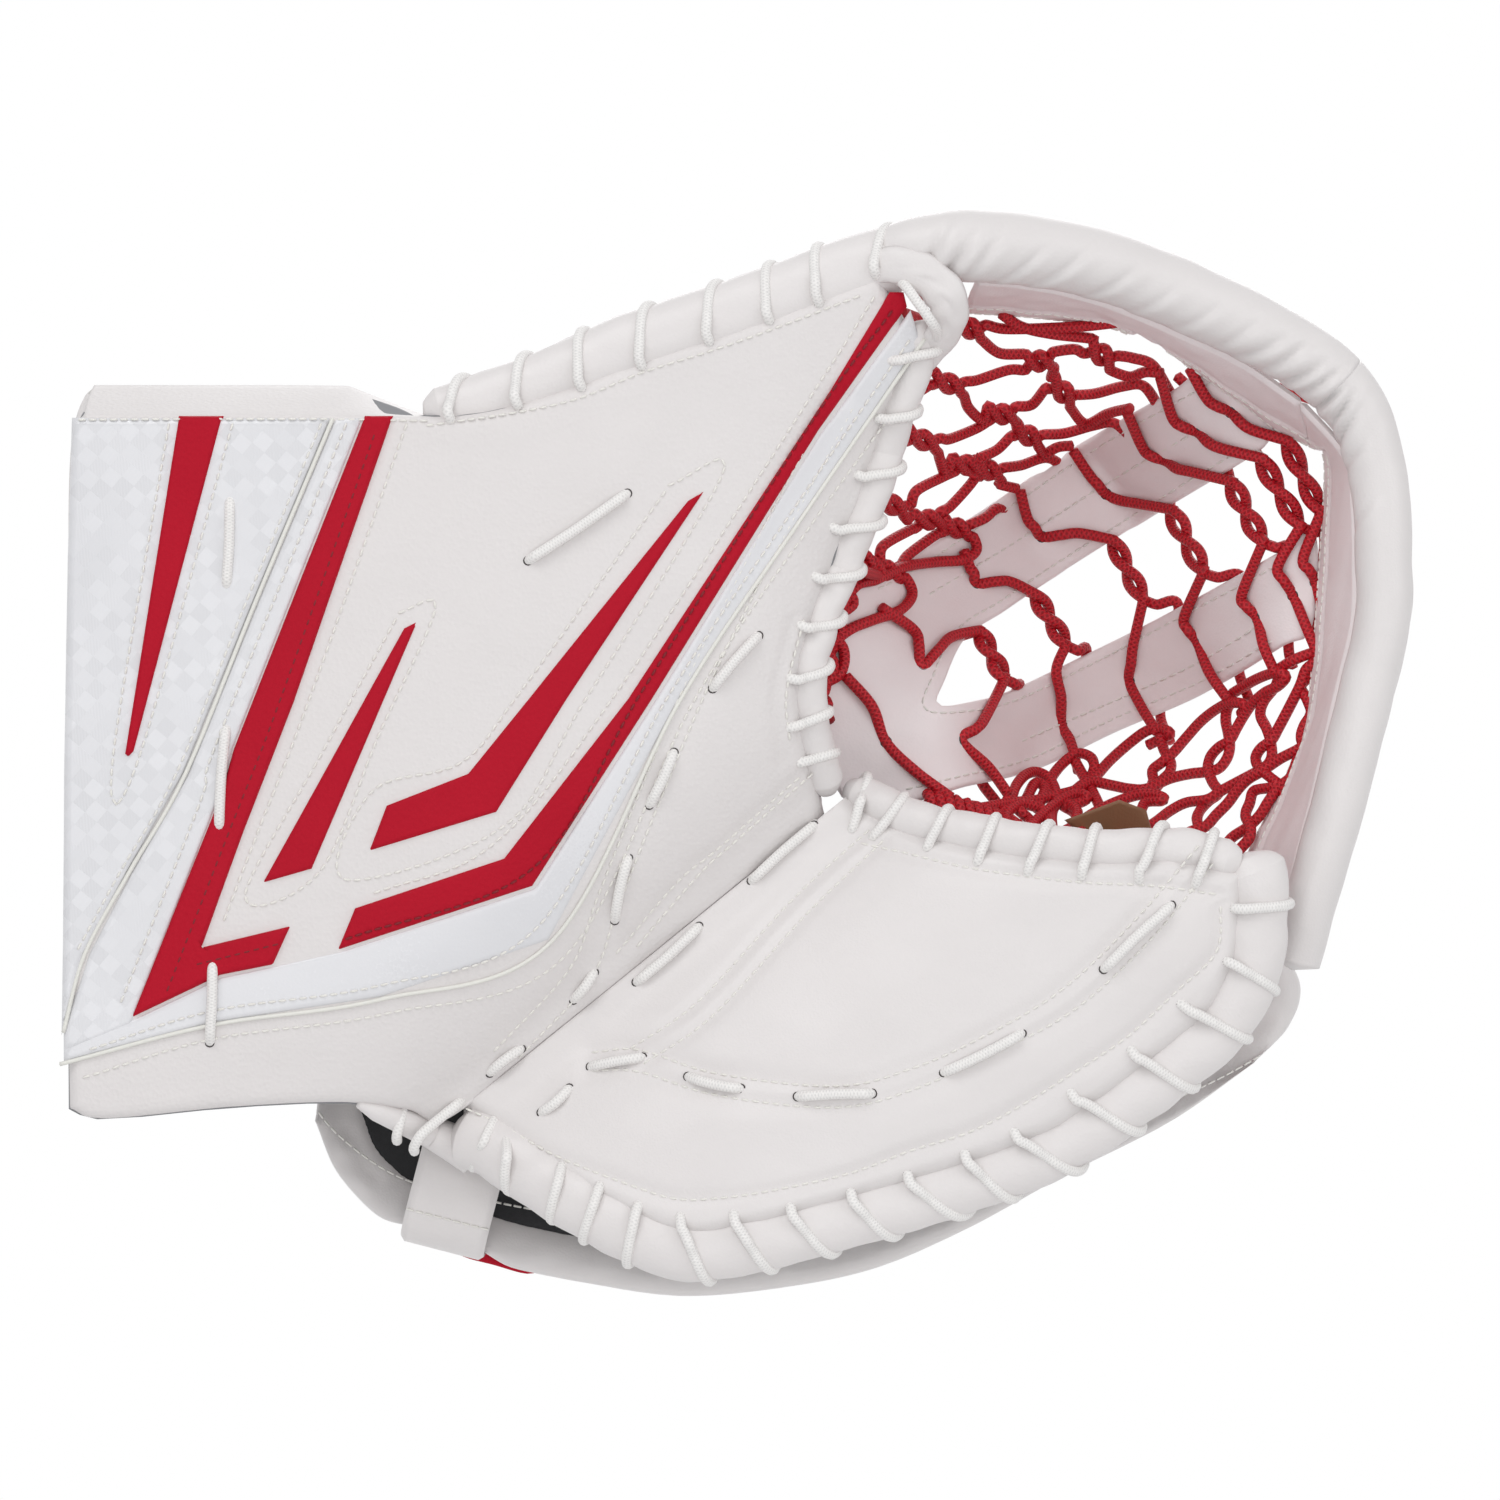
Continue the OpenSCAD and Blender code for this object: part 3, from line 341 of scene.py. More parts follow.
class Form:
    """A mesh in the making: points in millimetres, faces, and where each corner lies along and round."""

    CORNERS = ((0, 0), (1, 0), (1, 1), (0, 1))

    def __init__(self):
        self.points, self.faces, self.places = [], [], []
        self.count = 0

    def add(self, points, faces, places):
        points, faces = np.asarray(points, float).reshape(-1, 3), np.asarray(faces, int)
        self.points.append(points)
        self.faces.append(faces + self.count)
        self.places.append(np.asarray(places).reshape(-1, 2))
        self.count += len(points)
        return self

    def fan(self, ring, tip, place=(0.0, 0.0)):
        """Closes a ring of the form's own points with triangles to a tip."""
        self.points.append(np.reshape(tip, (1, 3)))
        self.faces.append(np.stack([ring, np.roll(ring, -1), np.full(len(ring), self.count)], -1))
        self.places.append(np.tile(place, (len(ring) * 3, 1)))
        self.count += 1
        return self

    def grid(self, points, round_u=False):
        """Rows by columns of points; round_u joins the last column to the first."""
        rows, columns = points.shape[:2]
        ids = np.arange(rows * columns).reshape(rows, columns)
        right = np.roll(ids, -1, axis=1) if round_u else ids[:, 1:]
        here = ids if round_u else ids[:, :-1]
        faces = np.stack([here[:-1], right[:-1], right[1:], here[1:]], axis=-1).reshape(-1, 4)
        step = np.linalg.norm(np.diff(points, axis=1), axis=-1).mean(0) * MM
        rise = np.linalg.norm(np.diff(points, axis=0), axis=-1).mean(1) * MM
        across_u = np.concatenate([[0], np.cumsum(step)])
        if round_u:
            across_u = np.append(across_u, across_u[-1] + step.mean())
        up_v = np.concatenate([[0], np.cumsum(rise)])
        i, j = np.meshgrid(np.arange(here.shape[1]), np.arange(rows - 1))
        places = [np.stack([across_u[i + di], up_v[j + dj]], -1) for di, dj in self.CORNERS]
        return self.add(points, faces, np.stack(places, axis=2))

    def tube(self, path, radius, sides=10):
        """A round tube along a path, its ends closed. Places hold metres along and turns round."""
        path = np.asarray(path, float)
        n = len(path)
        r = np.broadcast_to(np.asarray(radius, float), (n,)) if np.ndim(radius) < 2 else np.asarray(radius)
        tangent = units(np.gradient(path, axis=0))
        side = np.zeros((n, 3))
        start = np.cross(tangent[0], [0.0, 1.0, 0.0])
        side[0] = start if np.linalg.norm(start) > 0.2 else np.cross(tangent[0], [1.0, 0.0, 0.0])
        for k in range(1, n):
            side[k] = side[k - 1] - tangent[k] * (side[k - 1] @ tangent[k])
            side[k] /= max(np.linalg.norm(side[k]), 1e-9)
        side[0] /= np.linalg.norm(side[0])
        up = np.cross(side, tangent)
        a = turns(sides)
        wide = r[:, None] if r.ndim == 1 else r
        ring = side[:, None] * np.cos(a)[None, :, None] + up[:, None] * np.sin(a)[None, :, None]
        length = along(path) * MM
        ids = np.arange(n * sides).reshape(n, sides)
        nxt = np.roll(ids, -1, axis=1)
        faces = np.stack([ids[:-1], nxt[:-1], nxt[1:], ids[1:]], -1).reshape(-1, 4)
        j, k = np.meshgrid(np.arange(sides), np.arange(n - 1))
        places = [np.stack([length[k + dk], (j + dj) / sides], -1) for dj, dk in self.CORNERS]
        ids = ids + self.count
        self.add(path[:, None] + ring * wide[..., None], faces, np.stack(places, axis=2))
        for end, out in ((0, -0.35), (-1, 0.35)):
            tip = path[end] + tangent[end] * out * wide[end].mean()
            self.fan(ids[end], tip, (length[end], 0.5))
        return self

    def mesh(self, name, merge=0.0):
        points = np.vstack(self.points) * MM
        sizes = np.concatenate([np.full(len(f), f.shape[1]) for f in self.faces])
        loops = np.concatenate([f.ravel() for f in self.faces])
        places = np.vstack(self.places).astype(np.float32)
        mesh = bpy.data.meshes.new(name)
        mesh.vertices.add(len(points))
        mesh.vertices.foreach_set("co", points.ravel())
        mesh.loops.add(len(loops))
        mesh.loops.foreach_set("vertex_index", loops)
        mesh.polygons.add(len(sizes))
        mesh.polygons.foreach_set("loop_start", np.concatenate([[0], np.cumsum(sizes)[:-1]]))
        mesh.uv_layers.new(name="Places").data.foreach_set("uv", places.ravel())
        mesh.update(calc_edges=True)
        mesh.validate()
        work = bmesh.new()
        work.from_mesh(mesh)
        bmesh.ops.delete(work, geom=[v for v in work.verts if not v.link_faces], context="VERTS")
        if merge:
            bmesh.ops.remove_doubles(work, verts=work.verts, dist=merge * MM)
        bmesh.ops.recalc_face_normals(work, faces=work.faces)
        work.to_mesh(mesh)
        work.free()
        mesh.polygons.foreach_set("use_smooth", np.ones(len(mesh.polygons), bool))
        return mesh


FINISH = {}


def piece(name, form, finish, body=None, bend=None, stands_for=(), merge=0.0):
    """Makes an object of a form and gives it its finish; it rides on a body, or, given a bend, stays as made
    in the world.
    """
    obj = bpy.data.objects.new(name, form.mesh(name, merge))
    bpy.context.scene.collection.objects.link(obj)
    obj.data.materials.append(FINISH[finish])
    if bend:
        a, b, start, end = bend
        tuple(start * MM)
        tuple(end * MM)
        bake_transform(obj)
    else:
        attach(obj, body)
    if stands_for:
        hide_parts(*stands_for)
    return obj


def over_break(a, b, start, end):
    """A bend across the break: distances from it, in millimetres, where it starts and ends."""
    return (a, b, BREAK_POINT + start * BREAK_NORMAL, BREAK_POINT + end * BREAK_NORMAL)


THUMB_BEND = over_break("thumb_side", "web", -9, -0.5)
FINGER_BEND = over_break("web", "finger_side", 0.5, 9)
TOP_RIM_BEND = over_break("thumb_side", "web", -34, -2)
SIDE_RIM_BEND = over_break("web", "finger_side", 2, 34)


def parted(form):
    """The faces of a form above the break and below it, as two forms on the same points."""
    points = np.vstack(form.points)
    halves = (Form(), Form())
    for half in halves:
        half.points, half.count = [points], len(points)
    for faces, places in zip(form.faces, form.places):
        below = across(points[faces].mean(axis=1)[:, [0, 2]]) > 0
        for half, keep in zip(halves, (~below, below)):
            if keep.any():
                half.faces.append(faces[keep])
                half.places.append(places.reshape(len(faces), -1, 2)[keep].reshape(-1, 2))
    return halves


def folded_pair(name, form, finish, upper_nodes=(), lower_nodes=(), merge=0.0):
    """Two pieces of one form that part on the break, one for each side of the rim."""
    upper, lower = parted(form)
    piece(f"upper_{name}", upper, finish, bend=TOP_RIM_BEND, stands_for=upper_nodes, merge=merge)
    piece(f"lower_{name}", lower, finish, bend=SIDE_RIM_BEND, stands_for=lower_nodes, merge=merge)


def boundary(grid):
    """The four edges of a grid as one closed run of points."""
    return np.concatenate([grid[0], grid[1:, -1], grid[-1, -2::-1], grid[-2:0:-1, 0]])


def looped(points):
    """Points with the first one again at the end."""
    return np.concatenate([points, points[:1]])


def shell(form, front, back):
    """A closed sheet between two grids of the same shape."""
    form.grid(front)
    form.grid(back)
    form.grid(looped(np.stack([boundary(front), boundary(back)], axis=1)))
    return form


def normals_of(grid):
    """A unit normal at each point of a grid."""
    return units(np.cross(np.gradient(grid, axis=1), np.gradient(grid, axis=0)))


def arch(share):
    """Height of a quarter circle of radius 1, share of the way in from its foot."""
    return np.sqrt(np.clip(1 - (1 - np.clip(share, 0, 1)) ** 2, 0, 1))


def sewn_sheet(form, grid, t):
    """A sheet t thick about a grid, with its four edges rounded off."""
    normal = normals_of(grid)
    du = np.concatenate([[0], np.cumsum(np.linalg.norm(np.diff(grid, axis=1), axis=-1).mean(0))])
    dv = np.concatenate([[0], np.cumsum(np.linalg.norm(np.diff(grid, axis=0), axis=-1).mean(1))])
    e = np.minimum(np.minimum(du, du[-1] - du)[None, :], np.minimum(dv, dv[-1] - dv)[:, None])
    half = t / 2 * arch(e / (t / 2)) + 0.02
    return shell(form, grid + normal * half[..., None], grid - normal * half[..., None])


def between(front, rear, count):
    """Rows of points from one line to another."""
    t = np.linspace(0, 1, count)[:, None, None]
    return front[None] * (1 - t) + rear[None] * t


# ---- Shader building ----


class Wire:
    """A socket that takes part in arithmetic, through Math nodes."""

    def __init__(self, shade, socket):
        self.shade, self.socket = shade, socket

    def _with(self, operation, *values):
        return self.shade.node("ShaderNodeMath", {"operation": operation}, dict(enumerate(values)))

    def __add__(self, other): return self._with("ADD", self, other)
    def __radd__(self, other): return self._with("ADD", other, self)
    def __sub__(self, other): return self._with("SUBTRACT", self, other)
    def __rsub__(self, other): return self._with("SUBTRACT", other, self)
    def __mul__(self, other): return self._with("MULTIPLY", self, other)
    def __truediv__(self, other): return self._with("DIVIDE", self, other)
    def sine(self): return self._with("SINE", self)
    def size(self): return self._with("ABSOLUTE", self)
    def floor(self): return self._with("FLOOR", self)
    def part(self): return self._with("FRACT", self)


class Shade:
    """A material in the making."""

    def __init__(self, name):
        self.material = bpy.data.materials.new(name)
        self.material.use_nodes = True
        self.tree = self.material.node_tree
        self.surface = self.tree.nodes["Principled BSDF"]

    def node(self, kind, settings=None, sockets=None, output=0):
        """Any node: its settings are set first, then its sockets' values and links."""
        made = self.tree.nodes.new(kind)
        for name, value in (settings or {}).items():
            setattr(made, name, value)
        for name, value in (sockets or {}).items():
            self.put(made.inputs[name], value)
        return Wire(self, made.outputs[output])

    def put(self, socket, value):
        if isinstance(value, Wire):
            self.tree.links.new(value.socket, socket)
        elif socket.type == "RGBA" and len(value) == 3:
            socket.default_value = (*value, 1)
        else:
            socket.default_value = value

    def set(self, **values):
        """Puts values or wires on the surface's sockets."""
        for name, value in values.items():
            self.put(self.surface.inputs[name.replace("_", " ")], value)
        return self

    def place(self, scale=(1, 1, 1), turn=(0, 0, 0)):
        """Place on the object in metres, scaled and turned."""
        at = self.node("ShaderNodeTexCoord", output="Object")
        return self.node("ShaderNodeMapping", {"vector_type": "TEXTURE"},
                         {"Vector": at, "Rotation": turn, "Scale": [1 / s for s in scale]})

    def noise(self, scale, detail=3, rough=0.55, where=None):
        return self.node("ShaderNodeTexNoise", None, {
            "Vector": where or self.place(), "Scale": scale, "Detail": detail, "Roughness": rough})

    def cells(self, scale):
        return self.node("ShaderNodeTexVoronoi", None, {"Vector": self.place(), "Scale": scale})

    def mix(self, share, a, b):
        return self.node("ShaderNodeMix", {"data_type": "RGBA"}, {0: share, 6: a, 7: b}, 2)

    def split(self, vector):
        made = self.tree.nodes.new("ShaderNodeSeparateXYZ")
        self.put(made.inputs[0], vector)
        return [Wire(self, o) for o in made.outputs]

    def bumped(self, *layers):
        """Bumps laid over each other: (height, distance in metres, strength)."""
        normal = None
        for height, distance, strength in layers:
            sockets = {"Height": height, "Distance": distance, "Strength": strength}
            if normal:
                sockets["Normal"] = normal
            normal = self.node("ShaderNodeBump", None, sockets)
        return self.set(Normal=normal)


class Sky(Shade):
    """The world's surroundings in the making."""

    def __init__(self, name):
        self.world = bpy.data.worlds.new(name)
        self.world.use_nodes = True
        self.tree = self.world.node_tree
        self.tree.nodes.clear()


def tinted(colour, share):
    return tuple(c * share for c in colour)


def leather(name, colour, grain=1.1, depth=0.10, roughness=0.42, coat=0.0, creases=0.35, mottle=0.05,
            shine=0.4):
    """Coated leather: pebbles grain mm across, a slow mottle, and long shallow creases, with painted shade
    along the creases and in the grain's pits.
    """
    s = Shade(name)
    pebble = s.cells(1000 / grain)
    fine = s.noise(2600, 2)
    slow = s.noise(28, 3)
    crease = s.noise(9, 4, 0.6, s.place((1, 1, 2.4)))
    lines = (crease - 0.5).size() * 14
    furrow = 1 - s.node("ShaderNodeClamp", None, {"Value": lines})
    # Painted shade: the colour darkens along the crease lines (furrow) and in the pits of the grain (1 -
    # pebble); the slow mottle is the leather's own tone.
    shade = slow * mottle + furrow * 0.03 + (1 - pebble) * 0.02
    s.set(Base_Color=s.mix(shade, colour, tinted(colour, 0.55)),
          Roughness=roughness + (slow - 0.5) * 0.14 + pebble * 0.06,
          Coat_Weight=coat, Coat_Roughness=0.18, Specular_IOR_Level=shine)
    s.bumped((crease, 0.0011, creases), (pebble, depth * MM, 0.75), (fine, 0.03 * MM, 0.5))
    return s.material


def checked_gloss(name, colour):
    """Glossy coated fabric with a woven look: small squares that catch the light in turn."""
    s = Shade(name)
    at = s.place((1, 1, 1), (0, math.radians(40), 0))
    x, _, z = s.split(at)
    cell = 4.4 * MM
    column, row = (x / cell).floor(), (z / cell).floor()
    odd = ((column + row) * 0.5).part() * 2
    change = s.node("ShaderNodeTexWhiteNoise", {"noise_dimensions": "2D"}, {
        "Vector": s.node("ShaderNodeCombineXYZ", None, {0: column, 1: row})})
    tow = ((x + z * odd) * 5200).sine()
    s.set(Base_Color=s.mix(odd * 0.25 + change * 0.4, colour, tinted(colour, 0.86)),
          Roughness=0.26 + odd * 0.1 + change * 0.12, Coat_Weight=0.55, Coat_Roughness=0.12)
    s.bumped((odd * 0.5 + change * 0.5, 0.05 * MM, 0.6), (tow, 0.012 * MM, 0.5),
             (s.noise(8, 3), 0.8 * MM, 0.3))
    return s.material


def braid(name, colour, dark, pitch, roughness, sheen, depth):
    """Braided cord: yarns that cross on two helices, with painted shade in the gaps between them. Pitch is
    one yarn's rise, in millimetres.
    """
    s = Shade(name)
    at = s.node("ShaderNodeTexCoord", output="UV")
    along, turn, _ = s.split(at)
    rise = along / (pitch * MM)
    one = ((rise + turn * 4) * math.tau).sine()
    two = ((rise - turn * 4) * math.tau).sine()
    over = s.node("ShaderNodeMath", {"operation": "MAXIMUM"}, {0: one, 1: two})
    gap = s.node("ShaderNodeClamp", None, {"Value": 0.55 - over * 0.6})
    fibre = s.noise(3500, 2)
    # Painted shade: the gaps between the crossing yarns take the dark colour; the fibre noise is the yarn's
    # own tone.
    s.set(Base_Color=s.mix(gap * 0.75 + (fibre - 0.5) * 0.25, colour, dark),
          Roughness=roughness + gap * 0.15, Sheen_Weight=sheen, Sheen_Roughness=0.4)
    s.bumped((over, depth * MM, 0.9), (fibre, 0.03 * MM, 0.4))
    return s.material


def woven(name, colour, dark, pitch=1.3, roughness=0.75, sheen=0.3):
    """Narrow webbing or lining cloth with a plain weave."""
    s = Shade(name)
    at = s.node("ShaderNodeTexCoord", output="UV")
    x, y, _ = s.split(at)
    warp = (x * (math.tau / (pitch * MM))).sine()
    weft = (y * (math.tau / (pitch * MM))).sine()
    over = warp * weft
    fuzz = s.noise(1400, 4)
    # Painted shade: the hollows of the weave, where over is low, take the darker colour; the fuzz noise is
    # the cloth's own tone.
    s.set(Base_Color=s.mix(over * 0.3 + fuzz * 0.6, dark, colour), Roughness=roughness,
          Sheen_Weight=sheen, Sheen_Roughness=0.5)
    s.bumped((over, 0.18 * MM, 0.7), (fuzz, 0.12 * MM, 0.5))
    return s.material


def brushed(name, colour, dark):
    """Brushed knit lining."""
    s = Shade(name)
    nap = s.noise(900, 5, 0.7)
    patch = s.noise(45, 3)
    s.set(Base_Color=s.mix(nap * 0.6 + patch * 0.4, dark, colour), Roughness=0.9, Sheen_Weight=0.35)
    s.bumped((patch, 0.8 * MM, 0.4), (nap, 0.35 * MM, 0.8))
    return s.material


def moulded(name, colour, roughness=0.4):
    """Plain moulded plastic or foam with a fine mould texture."""
    s = Shade(name)
    grain = s.noise(1800, 3)
    slow = s.noise(30, 2)
    s.set(Base_Color=s.mix(slow * 0.2, colour, tinted(colour, 0.7)), Roughness=roughness + grain * 0.15)
    s.bumped((grain, 0.08 * MM, 0.5), (slow, 0.4 * MM, 0.3))
    return s.material


def make_finishes(colours):
    """Every finish of the glove, by name."""
    white, cool, red, pocket, welt, lace, cord, thread = (tuple(getattr(colours, name)) for name in (
        "leather", "gloss", "red", "pocket", "welt", "lace", "cord", "thread"))
    black = (0.012, 0.012, 0.013)
    return {
        "grained": leather("grained_white_leather", white, 1.25, 0.15, 0.5, 0.0, 0.3),
        "smooth": leather("smooth_white_leather", white, 0.7, 0.05, 0.4, 0.12, 0.5),
        "rolled": leather("rolled_white_leather", tinted(white, 1.02), 0.8, 0.06, 0.42, 0.1, 1.0),
        # Painted light: the pocket's leather is the white leather made brighter against the shade of the
        # pocket.
        "inner": leather("pocket_white_leather", pocket, 0.8, 0.08, 0.48, 0.05, 0.6),
        "pearl": leather("pearl_gloss_leather", cool, 0.9, 0.03, 0.22, 0.5, 0.3, 0.03),
        "check": checked_gloss("checked_gloss_cloth", cool),
        "red": leather("red_leather", red, 1.3, 0.2, 0.55, 0.0, 0.4, 0.3, shine=0.12),
        "welt": leather("cream_welt", welt, 0.5, 0.03, 0.4),
        # The second colour of each braid is the painted shade in the gaps between its yarns.
        "lace": braid("white_lace", lace, tinted(lace, 0.8), 0.9, 0.6, 0.1, 0.06),
        "cord": braid("red_braided_cord", cord, tinted(cord, 0.35), 1.5, 0.5, 0.0, 0.16),
        "thread": braid("white_thread", thread, tinted(thread, 0.85), 0.4, 0.6, 0.0, 0.03),
        "red_thread": braid("red_thread", tinted(red, 0.5), tinted(red, 0.3), 0.4, 0.6, 0.0, 0.03),
        # The webbing's second colour is the painted shade in the hollows of its weave.
        "webbing": woven("black_webbing", (0.03, 0.03, 0.032), black),
        "lining": brushed("black_brushed_lining", (0.035, 0.035, 0.038), black),
        # Painted shade: the holes' dark colour stands for the shade inside each punched hole.
        "hole": moulded("punched_hole_painted_shade", (0.055, 0.045, 0.045), 0.8),
        "tan": leather("tan_pocket_patch", (0.24, 0.12, 0.06), 0.7, 0.06, 0.5),
        "foam": moulded("grey_foam", (0.25, 0.25, 0.26), 0.85),
        "stiffener": moulded("natural_stiffener", (0.55, 0.54, 0.5), 0.45),
        "rod": moulded("nylon_rod", (0.6, 0.6, 0.58), 0.35),
    }


# ---- Boards ----

THUMB_BREAK = [along_break(x, 0) for x in (108, 135, 162, 189, 216)]
THUMB_LOW = THUMB_HEEL + THUMB_BREAK
THUMB_RIGHT = [THUMB_BREAK[-1]] + THUMB_MOUTH[1:]
FINGER_BREAK = [along_break(x, 0) for x in (112, 140, 168, 196, 222)]
FINGER_LOW = [FINGER_BREAK[0]] + FINGER_OUTER[1:]
FINGER_HIGH = [FINGER_BREAK[-1]] + FINGER_MOUTH[1:]
THUMB_SIDES = (CUFF_END, THUMB_RIGHT, THUMB_LOW, THUMB_TOP)
FINGER_SIDES = (FINGER_BREAK, FINGER_TIP, FINGER_LOW, FINGER_HIGH)


def round_drop(e, r):
    """How far a rounded edge of radius r falls back, e from the edge."""
    return r * (1 - arch(e / r))


def board_skin(sides, skin, base_y, nu, nv, edge_r, thickness, sign, lean):
    """A board's leather: its padded face, and its walls to the hand side. sign is the side of the break."""
    u, v = bunched(nu, 0.03), bunched(nv, 0.03)
    flat = filled(*sides, u, v)
    loop = boundary(flat)
    at_break = np.abs(across(loop)) < 0.6
    runs = np.split(np.vstack([loop, loop]), np.where(np.tile(at_break, 2))[0])
    e = distance_to(flat, [run for run in runs if len(run) > 8])
    if lean:
        crisp = 1 / (1 + np.exp((flat[..., 0] - 103) / 2.5)) / (1 + np.exp((60 - flat[..., 1]) / 5))
        edge_r = edge_r * (1 - crisp) + 1.0 * crisp
    face = np.stack([flat[..., 0], skin(flat) + round_drop(e, edge_r), flat[..., 1]], -1)
    form = Form()
    form.grid(face)
    rim = boundary(face)
    xz = np.stack([rim[:, 0], rim[:, 2]], -1)
    base = base_y(xz)
    inwards = np.clip(1 - np.abs(across(xz)) / 3, 0, 1)[:, None]
    away = np.array([BREAK_SIN, -BREAK_COS]) * sign * BREAK_GAP
    rows = []
    for share in (0, 0.12, 0.3, 0.5, 0.7, 0.86, 1):
        depth = (rim[:, 1] - base) * (1 - share) + thickness * share
        moved = xz + away * inwards * min(share * 3, 1)
        bulge = 0.5 * math.sin(math.pi * share)
        middle = xz.mean(0)
        moved = moved + units(xz - middle) * bulge * (1 - inwards)
        rows.append(np.stack([moved[:, 0], base + depth, moved[:, 1]], -1))
    for turned, rise in ((1.5, 0.9), (4.5, 1.0), (4.8, -0.2)):
        folded = moved - units(xz - xz.mean(0)) * turned * (1 - inwards)
        rows.append(np.stack([folded[:, 0], base + thickness + rise, folded[:, 1]], -1))
    form.grid(np.stack(rows), round_u=True)
    if lean:
        for block in form.points:
            depth = np.clip(block[:, 1] - base_y(block[:, [0, 2]]), 0, thickness)
            block[:, 2] += leant(block[:, [0, 2]], depth)
    return form


def lining_form(sides, base_y, nu, nv, depth, lean, seed):
    u, v = np.linspace(0, 1, nu), np.linspace(0, 1, nv)
    flat = filled(*sides, u, v)
    e = distance_to(flat, [looped(boundary(flat))])
    flat = flat - units(flat - flat.reshape(-1, 2).mean(0)) * (3 * np.exp(-e / 8))[..., None]
    nap = 0.25 * ripple(flat[..., 0], flat[..., 1], 22, seed)
    front = np.stack([flat[..., 0], base_y(flat) + depth - 0.8, flat[..., 1]], -1)
    back = front.copy()
    back[..., 1] += 1.0 + nap
    if lean:
        front[..., 2] += leant(flat, depth)
        back[..., 2] += leant(flat, depth)
    return shell(Form(), front, back)


def inset_sides(sides, gap, sign):
    """A board's sides with its break edge moved back from the fold."""
    away = np.array([BREAK_SIN, -BREAK_COS]) * sign * gap
    moved = [[np.array(p) + away * (abs(across(np.array(p, float))) < 0.6) for p in side] for side in sides]
    return tuple([tuple(p) for p in side] for side in moved)


# ---- Sewn panels, stitches, laces ----


THREAD_SIDES = 6
# A plain stitch: the distances from its start at which its thread goes in, lies flat and comes out.
THREAD_PITCH, THREAD_MARKS = 2.9, (0.3, 0.8, 1.9, 2.4)


def triangulated(line, rows, step, margin):
    """Triangles inside a closed line, with rows of points along it and a grid from margin inwards."""
    area = np.sum(line[:, 0] * np.roll(line[:, 1], -1) - np.roll(line[:, 0], -1) * line[:, 1])
    if area < 0:
        line = line[::-1]
    ring = looped(line)
    tangent = units(np.roll(line, -1, 0) - np.roll(line, 1, 0))
    inward = np.stack([-tangent[:, 1], tangent[:, 0]], -1)
    points = [line]
    for off in rows:
        row = line + inward * off
        points.append(row[distance_to(row, [ring]) > off * 0.9])
    low, high = line.min(0), line.max(0)
    gx, gz = np.meshgrid(np.arange(low[0], high[0], step), np.arange(low[1], high[1], step))
    inner = np.stack([gx.ravel(), gz.ravel()], -1)
    points.append(inner[distance_to(inner, [ring]) > margin])
    outline = [list(range(len(line)))]
    result = geometry.delaunay_2d_cdt([Vector(p) for p in np.vstack(points)], [], outline, 1, 1e-5)
    flat, faces = np.array([tuple(p) for p in result[0]]), np.array(result[2])
    places = np.stack([flat[faces, 0], flat[faces, 1]], -1) * MM
    return flat, faces, places, distance_to(flat, [ring])


def panel_form(form, outline, skin, lift, bevel=0.9, step=2.2):
    """A sheet of the given outline lying on a face, lift proud of it, with bevelled edges."""
    closed = looped(np.asarray(outline, float))
    line = np.vstack([even(closed[k:k + 2], step, smooth=False)[:-1] for k in range(len(closed) - 1)])
    rows = (bevel * 0.4, bevel, bevel * 2.2)
    flat, faces, places, e = triangulated(line, rows, step * 1.4, bevel * 3)
    rise = -0.35 + (lift + 0.35) * np.sin(np.clip(e / bevel, 0, 1) * math.pi / 2)
    return form.add(np.stack([flat[:, 0], skin(flat) - rise, flat[:, 1]], -1), faces, places)


def cut_leather(form, outline, skin, t, step=2.0, seed=0):
    """A two-sided piece of leather cut to an outline and hung on a skin, t thick, with rounded edges."""
    line = even(outline, step, closed=True)[:-1]
    flat, faces, places, e = triangulated(line, (0.25, 0.7, 1.4, 2.6), step, 3.4)
    h = 0.5
    dx = (skin(flat + [h, 0]) - skin(flat - [h, 0])) / (2 * h)
    dz = (skin(flat + [0, h]) - skin(flat - [0, h])) / (2 * h)
    normal = units(np.stack([dx, -np.ones(len(flat)), dz], -1))
    half = t / 2 * arch(e / (t / 2))
    wave = 0.35 * ripple(flat[:, 0], flat[:, 1], 24, seed) * np.clip(e / 8, 0, 1)
    middle = np.stack([flat[:, 0], skin(flat), flat[:, 1]], -1) - normal * (t / 2)
    middle = middle + normal * wave[:, None]
    form.add(middle + normal * half[:, None], faces, places)
    return form.add(middle - normal * half[:, None], faces[:, ::-1], places[:, ::-1])


def thread_run(form, line, marks, r):
    """Straight stitches along a line of [x, y, z], each through marks, the distances from its start."""
    way = units(line[1:] - line[:-1])
    for start, towards in zip(line, way):
        form.tube(np.array([start + towards * d for d in marks]), r, THREAD_SIDES)


def stitches(form, line, skin, pitch, stitch, r=0.34, lift=0.12):
    """A row of stitches along a line of [x, z] on a face."""
    run = even(line, pitch)
    if len(run) < 3:
        return form
    way = units(run[1:] - run[:-1])
    start = run[:-1] + way * (pitch - stitch) / 2
    ends = [on_face(start + way * stitch * f, skin, lift) for f in (0, 0.18, 0.5, 0.82, 1)]
    sink = np.array([0.35, 0.05, 0.0, 0.05, 0.35])
    for k in range(len(way)):
        path = np.array([ends[i][k] + [0, sink[i], 0] for i in range(5)])
        form.tube(path, np.array([0.55, 0.95, 1, 0.95, 0.55]) * r, THREAD_SIDES)
    return form


